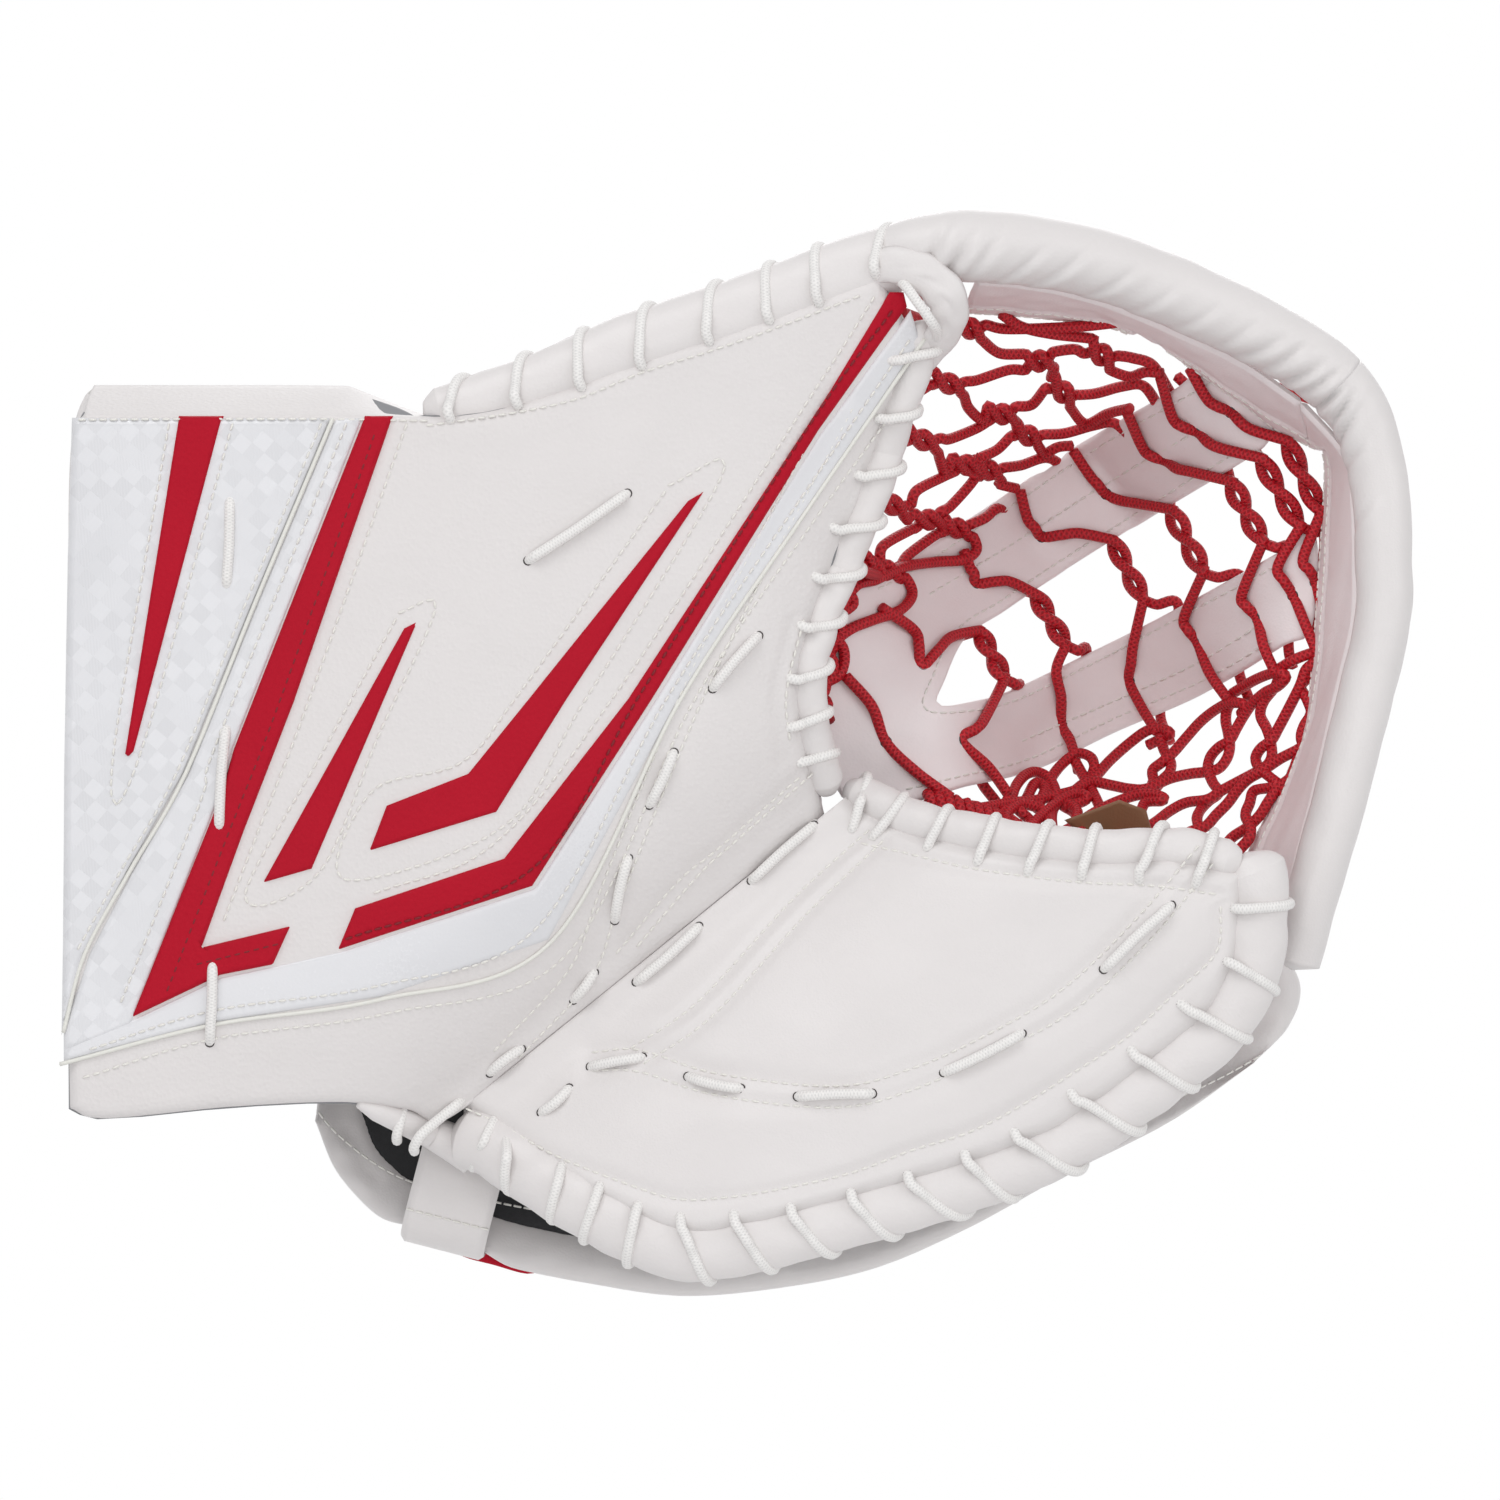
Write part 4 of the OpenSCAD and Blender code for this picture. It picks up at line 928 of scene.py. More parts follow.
def hole(form, centre, normal, r):
    """A punched hole: a dark dished disc with a rolled lip, its dark colour painted shade for the inside of
    the hole.
    """
    normal = np.asarray(normal, float) / np.linalg.norm(normal)
    side = np.cross(normal, [0.0, 0.0, 1.0])
    side = side / np.linalg.norm(side)
    up = np.cross(normal, side)
    sides = 12
    out = np.array([side * math.cos(t) + up * math.sin(t) for t in turns(sides)])
    lip = ((r * 1.15, 0.0), (r, 0.22), (r * 0.8, 0.12), (r * 0.3, 0.06))
    form.grid(np.stack([centre + normal * h + out * q for q, h in lip]), round_u=True)
    return form.fan(np.arange(form.count - sides, form.count), centre + normal * 0.05)


CORD_STEP, CORD_SIDES = 0.8, 10


def cord(form, points, r):
    """A cord or a lace through points."""
    form.tube(even(points, CORD_STEP), r, CORD_SIDES)


def lace_path(a, b, skin, r, bow=0.0):
    """A straight run of lace on a face from hole a to hole b."""
    a, b = np.asarray(a, float), np.asarray(b, float)
    run = b - a
    length = np.linalg.norm(run)
    way = run / length
    side = np.array([-way[1], way[0]])
    at = [(-0.6, 2.2), (0.3, 0.6), (1.8, -0.75), (4.0, -r), (length / 2, -r * 1.1), (length - 4.0, -r),
          (length - 1.8, -0.75), (length - 0.3, 0.6), (length + 0.6, 2.2)]
    points = []
    for d, y in at:
        p = a + way * d + side * bow * math.sin(math.pi * np.clip(d / length, 0, 1))
        points.append([p[0], float(skin(p[None])[0]) + y, p[1]])
    return even(points, 0.9)


def roll_centre(edge, s, off, side):
    """The middle of a roll beside an edge, as [x, z]. side is 1 for the left of the edge's run."""
    h = heading(edge, s)
    return curve(edge, s) + side * off * np.stack([-h[..., 1], h[..., 0]], -1)


class Roll:
    """A rolled leather edge: where it runs, how thick it is, and the lace loops that pinch it."""

    WIDE = 1.4

    def __init__(self, edge, span, r, side, board, thickness, loops, thin=0.0):
        self.edge, self.r, self.side, self.loops = edge, r, side, loops
        self.thickness, self.thin = thickness, thin
        self.s0, self.s1 = span
        self.base_y, self.skin = board

    def centre(self, s):
        xz = roll_centre(self.edge, s, self.r * (2 - self.WIDE) + 0.3, self.side)
        edge_at = curve(self.edge, s)
        return np.stack([xz[..., 0], self.base_y(edge_at) + self.thickness / 2, xz[..., 1]], -1)

    def form(self, seed):
        s = np.linspace(self.s0, self.s1, int(1400 * (self.s1 - self.s0) * len(self.edge) / 14))
        path = self.centre(s)
        pinch = np.zeros(len(s))
        for _, outer in self.loops:
            away = np.hypot(path[:, 0] - outer[0], path[:, 2] - outer[1])
            pinch = np.maximum(pinch, np.exp(-(away / 5.5) ** 2))
        sides = 26
        length = along(path)
        far, turn = np.meshgrid(length, turns(sides), indexing="ij")
        pleat = (np.sin(far / 3.1 + 1.4 * np.sin(turn + seed)) * 0.5
                 + np.sin(far / 1.7 + 2.2 * np.cos(turn * 2 + seed)) * 0.3)
        r = (self.r * (1.04 - 0.12 * pinch[:, None]) + pleat * (0.10 + 0.25 * pinch[:, None])
             + 0.25 * ripple(far, turn * 6, 26, seed))
        grow = 1 - self.thin * (1 - np.clip(length / 60, 0, 1))
        taper = np.clip(np.minimum(length, length[-1] - length) / 6 + 0.3, 0, 1) ** 0.5 * grow
        form = Form()
        form.tube(path, r * taper[:, None], sides)
        ring = form.points[0].reshape(len(path), sides, 3)
        ring[..., [0, 2]] = path[:, None][..., [0, 2]] + (ring - path[:, None])[..., [0, 2]] * self.WIDE
        return form

    def loop_path(self, hole_at, outer_at, lace_r):
        """Lace from a hole in the face over the roll and round behind it."""
        hole_at, outer_at = np.asarray(hole_at, float), np.asarray(outer_at, float)
        s = np.linspace(self.s0, self.s1, 300)
        line = self.centre(s)
        k = int(np.argmin(np.hypot(line[:, 0] - outer_at[0], line[:, 2] - outer_at[1])))
        k = min(max(k, 1), len(s) - 2)
        centre = line[k]
        way = units(line[k + 1] - line[k - 1])[[0, 2]]
        out = np.array([-way[1], way[0]])
        if out @ (hole_at - centre[[0, 2]]) > 0:
            out = -out
        gone = np.linalg.norm(line[k] - line[0])
        r = self.r * (1 - self.thin * (1 - min(gone / 60, 1)))
        deep, wide = r * 0.95 + lace_r * 0.55, r * self.WIDE * 0.95 + lace_r * 0.55
        w0 = (hole_at - centre[[0, 2]]) @ way
        w1 = (outer_at - centre[[0, 2]]) @ way
        o0 = (hole_at - centre[[0, 2]]) @ out
        base = float(self.skin(hole_at[None])[0])
        points = [[*(hole_at - out * 0.5), 2.0], [*hole_at, 0.3]]
        points = [[x, base + y, z] for x, z, y in points]
        first = math.degrees(math.asin(np.clip((o0 + 2.4) / wide, -0.95, 0.2)))
        for degrees in np.arange(first, 212, 18):
            t = math.radians(degrees)
            share = np.clip((degrees - first) / (115 - first), 0, 1)
            q = centre[[0, 2]] + out * wide * math.sin(t) + way * (w0 + (w1 - w0) * share)
            y = centre[1] - deep * math.cos(t)
            if degrees < 0:
                y = min(y, float(self.skin(q[None])[0]) - lace_r * 0.7)
            points.append([q[0], y, q[1]])
        return even(points, 0.9)


THUMB_EDGE_LOOPS = [
    ((110, 99), (114, 114)), ((129, 103), (132, 119)), ((147, 108), (149, 124)), ((164, 114), (168, 130)),
    ((183, 121), (187, 137)), ((200, 127), (201, 145)), ((214, 132), (214, 152)), ((230, 140), (235, 158)),
]
THUMB_MOUTH_LOOPS = [
    ((234.5, 116), (244, 120)), ((231, 100), (241, 104)), ((225, 84), (236, 88)), ((218, 69), (230, 73)),
    ((213, 55), (224, 59)), ((209, 41), (219, 45)), ((206, 26), (216, 31)), ((206, 12), (216, 17)),
    ((209, 2), (219, 5)),
]
FINGER_EDGE_LOOPS = [
    ((331, -39), (344, -37)), ((329, -54), (345, -64)), ((316, -66), (335, -75)), ((302, -79), (320, -87)),
    ((285, -91), (304, -98)), ((269, -102), (287, -107)), ((255, -108), (270, -117)),
    ((239, -114), (257, -123)), ((223, -119), (237, -129)), ((206, -123), (219, -133)),
    ((190, -125), (202, -139)), ((175, -126), (184, -141)), ((163, -123), (162, -137)),
    ((152, -118), (149, -132)), ((141, -113), (139, -129)), ((125, -106), (127, -122)),
    ((121, -101), (113, -119)),
]
FINGER_MOUTH_LOOPS = [
    ((224, -17), (227, -4)), ((230, -19), (240, -7)), ((245, -22), (252, -11)), ((259, -26), (265, -14)),
    ((273, -29), (280, -17)), ((288, -30), (293, -18)), ((304, -31), (312, -19)), ((320, -32), (325, -21)),
]
THUMB_FACE_LACES = [
    ((48, 77), (47, 51)),
    ((47, 12), (45, -17)),
    ((43, -54), (42, -77)),
    ((132, 59), (160, 78)),
    ((184, 23), (197, 38)),
    ((166, -10), (173, 5)),
    ((156, -43), (160, -25)),
    ((144, -66), (150, -58)),
    ((120, -87), (129, -80)),
]
FINGER_FACE_LACES = [((149, -85), (164, -82)), ((177, -87), (192, -90)), ((208, -92), (229, -91)),
                     ((249, -85), (271, -74)), ((294, -56), (313, -38)), ((135, -98), (143, -91))]
BREAK_LACES = [((195, -32), (213, -16)), ((162, -61), (180, -45))]


FINGER_ROLLED = [(113, -100.5)] + FINGER_OUTER[1:] + [(333, -43), (333.5, -33), (331, -26)]
THUMB_ROLLED = [(104, 96.5), (134, 105), (164, 116), (197, 127), (224, 137), (240, 141)]


def glove_rolls():
    thumb, finger = (thumb_base_y, thumb_skin), (finger_base_y, finger_skin)
    return {
        "thumb_edge": Roll(THUMB_ROLLED, (0.0, 1.0), 6.7, 1, thumb, 13.5, THUMB_EDGE_LOOPS, 0.35),
        "thumb_mouth": Roll(THUMB_RIGHT, (0.03, 0.9), 3.7, -1, thumb, 8, THUMB_MOUTH_LOOPS),
        "finger_edge": Roll(FINGER_ROLLED, (0.0, 1.0), 6.5, -1, finger, 12.5, FINGER_EDGE_LOOPS),
        "finger_mouth": Roll(FINGER_HIGH, (0.0, 0.99), 4.2, 1, finger, 8.6, FINGER_MOUTH_LOOPS),
    }


# ---- Rim, straps and net ----


def skirt_seam(line, r, web_t=2.6):
    p = np.asarray(line, float)
    towards = np.stack([MOUTH_MID[0] - p[:, 0], np.zeros(len(p)), MOUTH_MID[1] - p[:, 2]], -1)
    return p + (0.8 * r + web_t) * units(towards) + [0, 0.75 * r, 0]


def band_grid(front, rear, nu, nv):
    """Rows of v by columns of u between two lines."""
    u, v = np.linspace(0, 1, nu), np.linspace(0, 1, nv)[:, None, None]
    return curve(front, u)[None] * (1 - v) + curve(rear, u)[None] * v


# ---- Sizes and colours a user would change ----


def length_size(name, description, default):
    return bpy.props.FloatProperty(name=name, description=description, default=default, unit="LENGTH",
                                   min=0.0001, precision=5)


def colour_of(name, description, default):
    return bpy.props.FloatVectorProperty(name=name, description=description, default=default, subtype="COLOR",
                                         size=3, min=0, max=1)


class GloveSizes(bpy.types.PropertyGroup):
    lace_r: length_size("Lace radius", "Radius of the white lace", 0.0015)
    cord_r: length_size("Cord radius", "Radius of the red pocket cord", 0.00165)
    stitch_pitch: length_size("Stitch pitch", "Distance from one stitch to the next", 0.0029)
    inlay_lift: length_size("Inlay lift", "How far the red panels stand off the face", 0.0009)
    floor_drop: length_size("Floor", "How far the floor lies below the cuff's middle", 0.34)


class GloveColours(bpy.types.PropertyGroup):
    leather: colour_of("Leather", "White leather of the boards", (0.722, 0.690, 0.680))
    # Painted light: the leather of the straps and skirts is the boards' white leather made brighter, to make
    # up for the shade it lies in inside the pocket.
    pocket: colour_of("Pocket leather", "Leather of the straps and skirts", (0.87, 0.80, 0.80))
    gloss: colour_of("Gloss", "Glossy cuff overlay", (0.70, 0.697, 0.715))
    red: colour_of("Red", "Red leather panels", (0.46, 0.005, 0.021))
    cord: colour_of("Cord", "Braided pocket cord", (0.56, 0.003, 0.014))
    lace: colour_of("Lace", "White lace", (0.84, 0.82, 0.80))
    thread: colour_of("Thread", "Sewing thread", (0.86, 0.84, 0.79))
    welt: colour_of("Welt", "Cream welt along the panels", (0.76, 0.75, 0.70))


# ---- Operators ----


class GLOVE_OT_finishes(bpy.types.Operator):
    """Make every finish, and give the hidden inner pieces theirs"""

    bl_idname = "glove.finishes"
    bl_label = "Finishes"

    def execute(self, context):
        FINISH.clear()
        FINISH.update(make_finishes(context.scene.glove_colours))
        inner = {"foam": ("thumb_foam", "finger_foam"), "stiffener": ("thumb_stiffener", "finger_stiffener"),
                 "rod": ("top_tube_core", "side_tube_core")}
        for finish, names in inner.items():
            for name in names:
                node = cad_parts[name]
                node.data.materials.clear()
                node.data.materials.append(FINISH[finish])
        return {"FINISHED"}


class GLOVE_OT_boards(bpy.types.Operator):
    """Make the leather and the lining of the thumb board and the finger board"""

    bl_idname = "glove.boards"
    bl_label = "Boards"

    def execute(self, context):
        thumb = board_skin(THUMB_SIDES, thumb_skin, thumb_base_y, 170, 165, 4.0, THUMB_BOARD_T, -1, True)
        piece("thumb_board_leather", thumb, "grained", bend=THUMB_BEND,
              stands_for=("thumb_face_cover",), merge=0.01)
        finger = board_skin(FINGER_SIDES, finger_skin, finger_base_y, 165, 100, 5.0, FINGER_BOARD_T, 1, False)
        piece("finger_board_leather", finger, "smooth", bend=FINGER_BEND,
              stands_for=("finger_face_cover",), merge=0.01)
        for name, sides, sign, base_y, nu, nv, depth, lean, seed in (
                ("thumb", THUMB_SIDES, -1, thumb_base_y, 70, 66, THUMB_BOARD_T, True, 4),
                ("finger", FINGER_SIDES, 1, finger_base_y, 66, 40, FINGER_BOARD_T, False, 5)):
            lining = lining_form(inset_sides(sides, BREAK_GAP, sign), base_y, nu, nv, depth, lean, seed)
            piece(f"{name}_board_lining", lining, "lining", f"{name}_side",
                  stands_for=(f"{name}_lining",))
        return {"FINISHED"}


CUFF_OVERLAY = [(3.4, 99.3), (2.2, 60), (1.2, 0), (0.8, -50), (0.4, -75), (7, -52), (19, -29), (35, -1),
                (55, 48), (76.6, 99.3)]
CHECK_STRIP = [(77.6, 99.3), (56, 48), (36, -1), (20, -29), (8, -52), (1, -74), (1, -80), (20, -72),
               (45, -8), (49, 6), (85.6, 99.3)]
CHECK_EDGE = [(77, 99), (55.5, 48), (35.5, -1), (19.5, -29), (7, -52), (1, -74)]
RED_WEDGE = [(33.5, 99.8), (46.3, 99.8), (21, 4), (18, 3)]
LONG_STRIPE = [(86, 99.8), (94, 99.8), (66, 19), (52, -17), (40, -50), (65, -44), (60, -55), (45, -58),
               (41, -60), (20, -70), (45, -8), (49, 6)]
SMALL_WEDGE = [(97, 40), (101, 42), (71, -28), (57, -32)]
MID_BLADE = [(177, 76), (182, 79), (143, 20), (123, -12), (87, -23), (92, -10), (115, -1), (132, 20)]
OUTER_BLADE = [(83, -39), (125, -25), (160, 20), (217, 107), (234, 135), (238, 135), (239, 131), (214, 96),
               (167, 20), (133, -33), (78, -51)]
PEARL_STRIP = [
    (240, 130), (214.5, 95.5), (167.5, 19.5), (133.5, -33.5), (78, -51.5), (64, -54.5), (45, -58.5),
    (41, -60.5), (20, -70.5), (1, -77), (1, -82.5), (43, -71.5), (90, -64.5), (137.5, -48.5), (175, 20.5),
    (209, 71), (243, 121),
]
RED_PANELS = {
    "cuff_wedge": (RED_WEDGE, 1.3),
    "long_stripe": (LONG_STRIPE, 0.5),
    "small_wedge": (SMALL_WEDGE, 0),
    "middle_blade": (MID_BLADE, 0),
    "outer_blade": (OUTER_BLADE, 0.1),
}


class GLOVE_OT_panels(bpy.types.Operator):
    """Make the glossy overlay, the pearl strip and the red panels of the thumb face"""

    bl_idname = "glove.panels"
    bl_label = "Panels"

    def execute(self, context):
        lift = context.scene.glove_sizes.inlay_lift / MM
        overlay = panel_form(Form(), CUFF_OVERLAY, thumb_skin, 1.3, 1.1)
        panel_form(overlay, CHECK_STRIP, thumb_skin, 0.5, 0.8)
        piece("checked_cuff_overlay", overlay, "check", "thumb_side",
              stands_for=("cuff_overlay",))
        piece("pearl_strip", panel_form(Form(), PEARL_STRIP, thumb_skin, 0.45, 0.8), "pearl",
              "thumb_side")
        red = Form()
        for outline, base in RED_PANELS.values():
            panel_form(red, outline, thumb_skin, lift + base, 0.7, 1.6)
        piece("red_leather_panels", red, "red", "thumb_side", stands_for=("red_inlays",))
        welt = Form()
        for line in (THUMB_SEAMS["pearl_edge"], CHECK_EDGE):
            welt.tube(on_face(even(line, 1.5), thumb_skin, 0.5), 0.6, 8)
        piece("cream_welts", welt, "welt", "thumb_side")
        return {"FINISHED"}


THUMB_STITCHES = [
    (1.5, [(74, 98), (53, 48), (33, -1), (17, -29), (5, -51)]),
    (1.5, [(31, 98), (15, 2), (22, 2), (49, 98)]),
    (0.75, [(81, 98), (44, 7), (40, -8), (17, -66)]),
    (0.2, [(98, 98), (70, 19), (56, -17), (46, -43)]),
    (0.2, [(95, 44), (106, 46), (90, 10), (73, -29), (52, -36), (74, 5), (95, 43)]),
    (0.2, [(171, 80), (187, 84), (147, 18), (125, -16), (80, -31), (88, -6), (113, 2), (129, 21), (171,
     79)]),
    (0.2, [(88, -35), (122, -21), (157, 22), (214, 109), (230, 134)]),
    (0.7, [(240, 122), (205, 71), (171, 20), (134, -45), (90, -61), (43, -68), (8, -79)]),
    (0.2, [(246, 116), (213, 71), (179, 20), (142, -53), (92, -69), (43, -76), (6, -87)]),
    (0.2, [(215, 1), (191, -20), (180, -30), (162, -51)]),
    (0.2, [(209, -2), (185, -23), (174, -32), (156, -53)]),
    (0.2, [(210, 43), (205, 22), (206, 8)]),
    (0.2, [(224, 103), (200, 58), (183, 24), (169, -9), (157, -39), (149, -60), (128, -83)]),
    (0.2, [(218, 106), (194, 60), (177, 26), (163, -7), (151, -37), (143, -57), (121, -81)]),
    (0.2, [(103, 97), (130, 101), (147, 105), (164, 112), (183, 118), (200, 124), (226, 134)]),
    (1.6, [(5, 98.6), (40, 98.8), (76, 98.8)]),
    (0.3, [(78, 98.8), (104, 98.4)]),
]
RED_STITCHES = [
    [(89, 95), (62, 19), (48, -17), (30, -63)], [(80, -48), (133, -28), (164, 22), (211, 97), (235, 130)],
    [(38, -55), (62, -49)],
]


class GLOVE_OT_stitching(bpy.types.Operator):
    """Sew every seam of the two faces, stitch by stitch"""

    bl_idname = "glove.stitching"
    bl_label = "Stitching"

    def execute(self, context):
        pitch = context.scene.glove_sizes.stitch_pitch / MM
        for name, finish, slot, body, skin, seams in (
                ("thumb_face_stitches", "thread", "lace", "thumb_side", thumb_skin, THUMB_STITCHES),
                ("red_panel_stitches", "red_thread", "red_leather", "thumb_side", thumb_skin,
                 [(1.25, line) for line in RED_STITCHES]),
                ("finger_face_stitches", "thread", "lace", "finger_side", finger_skin,
                 [(0.1, line) for line in FINGER_SEAMS.values()])):
            sewn = Form()
            for lift, line in seams:
                stitches(sewn, line, skin, pitch, pitch * 0.72, lift=lift)
            piece(name, sewn, finish, body)
        return {"FINISHED"}


class GLOVE_OT_rolled_edges(bpy.types.Operator):
    """Make the four rolled edges and the lace that goes over them"""

    bl_idname = "glove.rolled_edges"
    bl_label = "Rolled edges"

    def execute(self, context):
        lace_r = context.scene.glove_sizes.lace_r / MM
        for k, (name, roll) in enumerate(glove_rolls().items()):
            body = "thumb_side" if name.startswith("thumb") else "finger_side"
            piece(f"{name}_roll_leather", roll.form(k + 1), "rolled", body,
                  stands_for=(f"{name}_roll",))
            laces, holes = Form(), Form()
            for hole_at, outer in roll.loops:
                laces.tube(roll.loop_path(hole_at, outer, lace_r), lace_r, 10)
                if name in ("thumb_edge", "finger_edge"):
                    at = on_face(np.array([hole_at]), roll.skin)[0]
                    hole(holes, at, (0, -1, 0), 1.25)
            piece(f"{name}_lace", laces, "lace", body, stands_for=(f"{name}_lacing",))
            if holes.count:
                piece(f"{name}_lace_holes", holes, "hole", body)
        path = even(HEEL_ROLL, 0.8)
        y = thumb_base_y(path) + np.linspace(2.5, 5.0, len(path))
        heel, ties = Form(), Form()
        r = np.interp(np.linspace(0, 1, len(path)), [0, 0.15, 1], [1.2, 3.0, 6.2])
        heel.tube(np.stack([path[:, 0], y, path[:, 1]], -1), r, 22)
        piece("heel_roll_leather", heel, "rolled", "thumb_side")
        shift = float(thumb_base_y(np.array([[98.0, -103.0]]))[0])
        for line in HEEL_LACES:
            cord(ties, [(x, y + shift + 1.2, z) for x, y, z in line], lace_r)
        piece("heel_lace", ties, "lace", "thumb_side")
        return {"FINISHED"}


HEEL_ROLL = [(83, -95.2), (90, -98.4), (98, -102.2), (107, -106.7), (115, -111)]
HEEL_LACES = [
    [(95, 1.5, -95.5), (95.2, -2.5, -97.5), (94.6, -5, -100.5), (93.6, -4.6, -104.5), (93.4, -1, -106.5)],
    [(112, 1, -95), (110, -2.6, -96.5), (105, -4.5, -100.5), (100.5, -6, -104.5), (98.5, -4.5, -108),
     (98.4, -1, -109.5)],
]


class GLOVE_OT_face_laces(bpy.types.Operator):
    """Make the runs of lace on the two faces and the holes they go into"""

    bl_idname = "glove.face_laces"
    bl_label = "Face laces"

    def execute(self, context):
        lace_r = context.scene.glove_sizes.lace_r / MM
        for name, runs, skin, body in (("thumb", THUMB_FACE_LACES, thumb_skin, "thumb_side"),
                                       ("finger", FINGER_FACE_LACES, finger_skin, "finger_side"),
                                       ("break", BREAK_LACES, None, None)):
            laces, holes = Form(), Form()
            for k, (a, b) in enumerate(runs):
                on = skin or (lambda p: np.where(across(p) < 0, thumb_skin(p), finger_skin(p)))
                laces.tube(lace_path(a, b, on, lace_r, 0.4 * (-1) ** k), lace_r, 12)
                for end in (a, b):
                    hole(holes, on_face(np.array([end]), on)[0], (0, -1, 0), 1.25)
            if body:
                piece(f"{name}_running_laces", laces, "lace", body,
                      stands_for=(f"{name}_face_laces",))
                piece(f"{name}_lace_punchings", holes, "hole", body)
            else:
                piece("break_running_laces", laces, "lace", bend=FINGER_BEND)
                piece("break_lace_punchings", holes, "hole", bend=FINGER_BEND)
        return {"FINISHED"}


def rim_path():
    return even(TOP_TUBE + RIM_BEND + SIDE_TUBE, 1.2)


# Creases of the rim tube: millimetres past the corner, angle round it, depth and how far they slant.
RIM_CREASES = [
    (-34, 4.1, 0.8, 5), (-26, 4.0, 1.2, 6), (-18, 4.2, 1.6, 4), (-11, 3.9, 2.1, 4), (-5, 4.2, 2.3, 3),
    (1, 4.0, 2.4, 0), (7, 4.2, 1.9, -4), (14, 3.9, 1.6, -5), (22, 4.0, 0.9, -5), (-128, 4.3, 1.9, 4),
    (-122, 4.1, 1.9, 5), (-115, 4.3, 1.2, 6), (-104, 4.0, 1.0, 8), (-92, 4.1, 1.1, 8), (-76, 4.0, 0.9, 7),
    (-62, 3.9, 0.7, 6), (-48, 3.9, 0.7, 6), (40, 4.0, 0.5, -6),
]


class GLOVE_OT_rim(bpy.types.Operator):
    """Make the padded rim tube, its corner, and the leather that wraps the thumb's tip"""

    bl_idname = "glove.rim"
    bl_label = "Rim tube"

    def execute(self, context):
        path = rim_path()
        n = len(path)
        length = along(path)
        corner = int(np.argmin(np.linalg.norm(path - np.array([363, -24.4, 111]), axis=1)))
        marks = [0, 22, length[corner], length[corner] + 25, length[-1]]
        r = np.interp(length, marks, [7.2, 10.4, 9.7, 8.3, 7.5])
        sides = 44
        far, turn = np.meshgrid(length - length[corner], turns(sides), indexing="ij")
        radius = r[:, None] + 0.3 * ripple(far, turn * 9, 34, 3)
        for at, where, depth, slant in RIM_CREASES:
            off = np.angle(np.exp(1j * (turn - where)))
            reach = np.exp(-((off / 0.85) ** 2))
            d = far - at - slant * off
            radius = radius - depth * reach * np.exp(-((d / 1.2) ** 2)) + depth * 0.5 * reach * np.exp(
                -(((d - 3.4) / 2.4) ** 2))
        for name, k0, k1, bend, replaced in (
                ("top_rim_leather", 0, corner + 1, TOP_RIM_BEND, ("top_tube_cover", "rim_corner")),
                ("side_rim_leather", corner, n, SIDE_RIM_BEND, ("side_tube_cover",))):
            form = Form()
            form.tube(path[k0:k1], radius[k0:k1], sides)
            piece(name, form, "smooth", bend=bend, stands_for=replaced)
        cap_path = even([(226, -48, 141), (235, -52, 142.6), (244, -53.5, 139.6), (250.5, -52, 132.5),
                         (250, -47, 125), (246, -42, 119), (240, -38, 112)], 0.8)
        n = len(cap_path)
        t = np.linspace(0, 1, n)[:, None]
        turn = turns(30)[None]
        wide, flat = 5.8 * np.sin(math.pi * (0.18 + 0.7 * t)) ** 0.5, 2.0
        oval = wide * flat / np.sqrt((flat * np.cos(turn)) ** 2 + (wide * np.sin(turn)) ** 2)
        fold = 0.25 * np.sin(t * 44 + 1.5 * np.sin(turn * 2)) * np.sin(math.pi * t)
        cap = Form()
        cap.tube(cap_path, oval + fold, 30)
        piece("thumb_tip_wrap", cap, "rolled", "thumb_side", stands_for=("thumb_tip_cap",))
        tie = Form()
        cord(tie, [(236, -44, 138.5), (238, -53, 137), (241.5, -56.5, 132), (245.5, -55.5, 126.5),
                   (247.5, -50, 123.5), (247, -42, 122)], 1.5)
        piece("thumb_tip_lace", tie, "lace", "thumb_side")
        return {"FINISHED"}


class GLOVE_OT_skirts(bpy.types.Operator):
    """Make the leather skirts that hold the net to the rim"""

    bl_idname = "glove.skirts"
    bl_label = "Skirts"

    def execute(self, context):
        top_seam, side_seam = skirt_seam(TOP_TUBE[2:], 8.5), skirt_seam(SIDE_TUBE, 5.5)
        middle = (top_seam[-1] + side_seam[0]) / 2 + [2, 0, 2]
        rear_mid = np.array([360, 12, 96])
        for name, front, rear, bend, nodes in (
                ("top_skirt", [top_seam, middle], [TOP_SKIRT_REAR, rear_mid], TOP_RIM_BEND,
                 ("top_skirt", "corner_skirt")),
                ("side_skirt", [middle, side_seam], [rear_mid, SIDE_SKIRT_REAR], SIDE_RIM_BEND,
                 ("side_skirt",))):
            grid = band_grid(np.vstack(front), np.vstack(rear), 120, 40)
            fade = np.sin(math.pi * np.linspace(0, 1, 40))[:, None]
            normal = normals_of(grid)
            normal = normal * np.where(normal[..., 1:2] > 0, -1, 1)
            wave = 0.6 * ripple(grid[..., 0] * 1.5, grid[..., 2] * 0.6 + grid[..., 1], 30, 6) * fade
            v = np.linspace(0, 1, 40)[:, None] * np.ones((1, 120))
            hem = 0.5 / (1 + np.exp(-(v - 0.74) * 60)) - 0.5 * np.exp(-(((v - 0.74) / 0.02) ** 2))
            grid = grid + normal * (wave + hem)[..., None]
            piece(f"{name}_leather", sewn_sheet(Form(), grid, 2.6), "inner", bend=bend,
                  stands_for=nodes)
            thread = Form()
            for row in (31, 37):
                thread_run(thread, even(grid[row] + normal[row] * 1.35, THREAD_PITCH), THREAD_MARKS, 0.3)
            piece(f"{name}_stitches", thread, "thread", bend=bend)
        return {"FINISHED"}


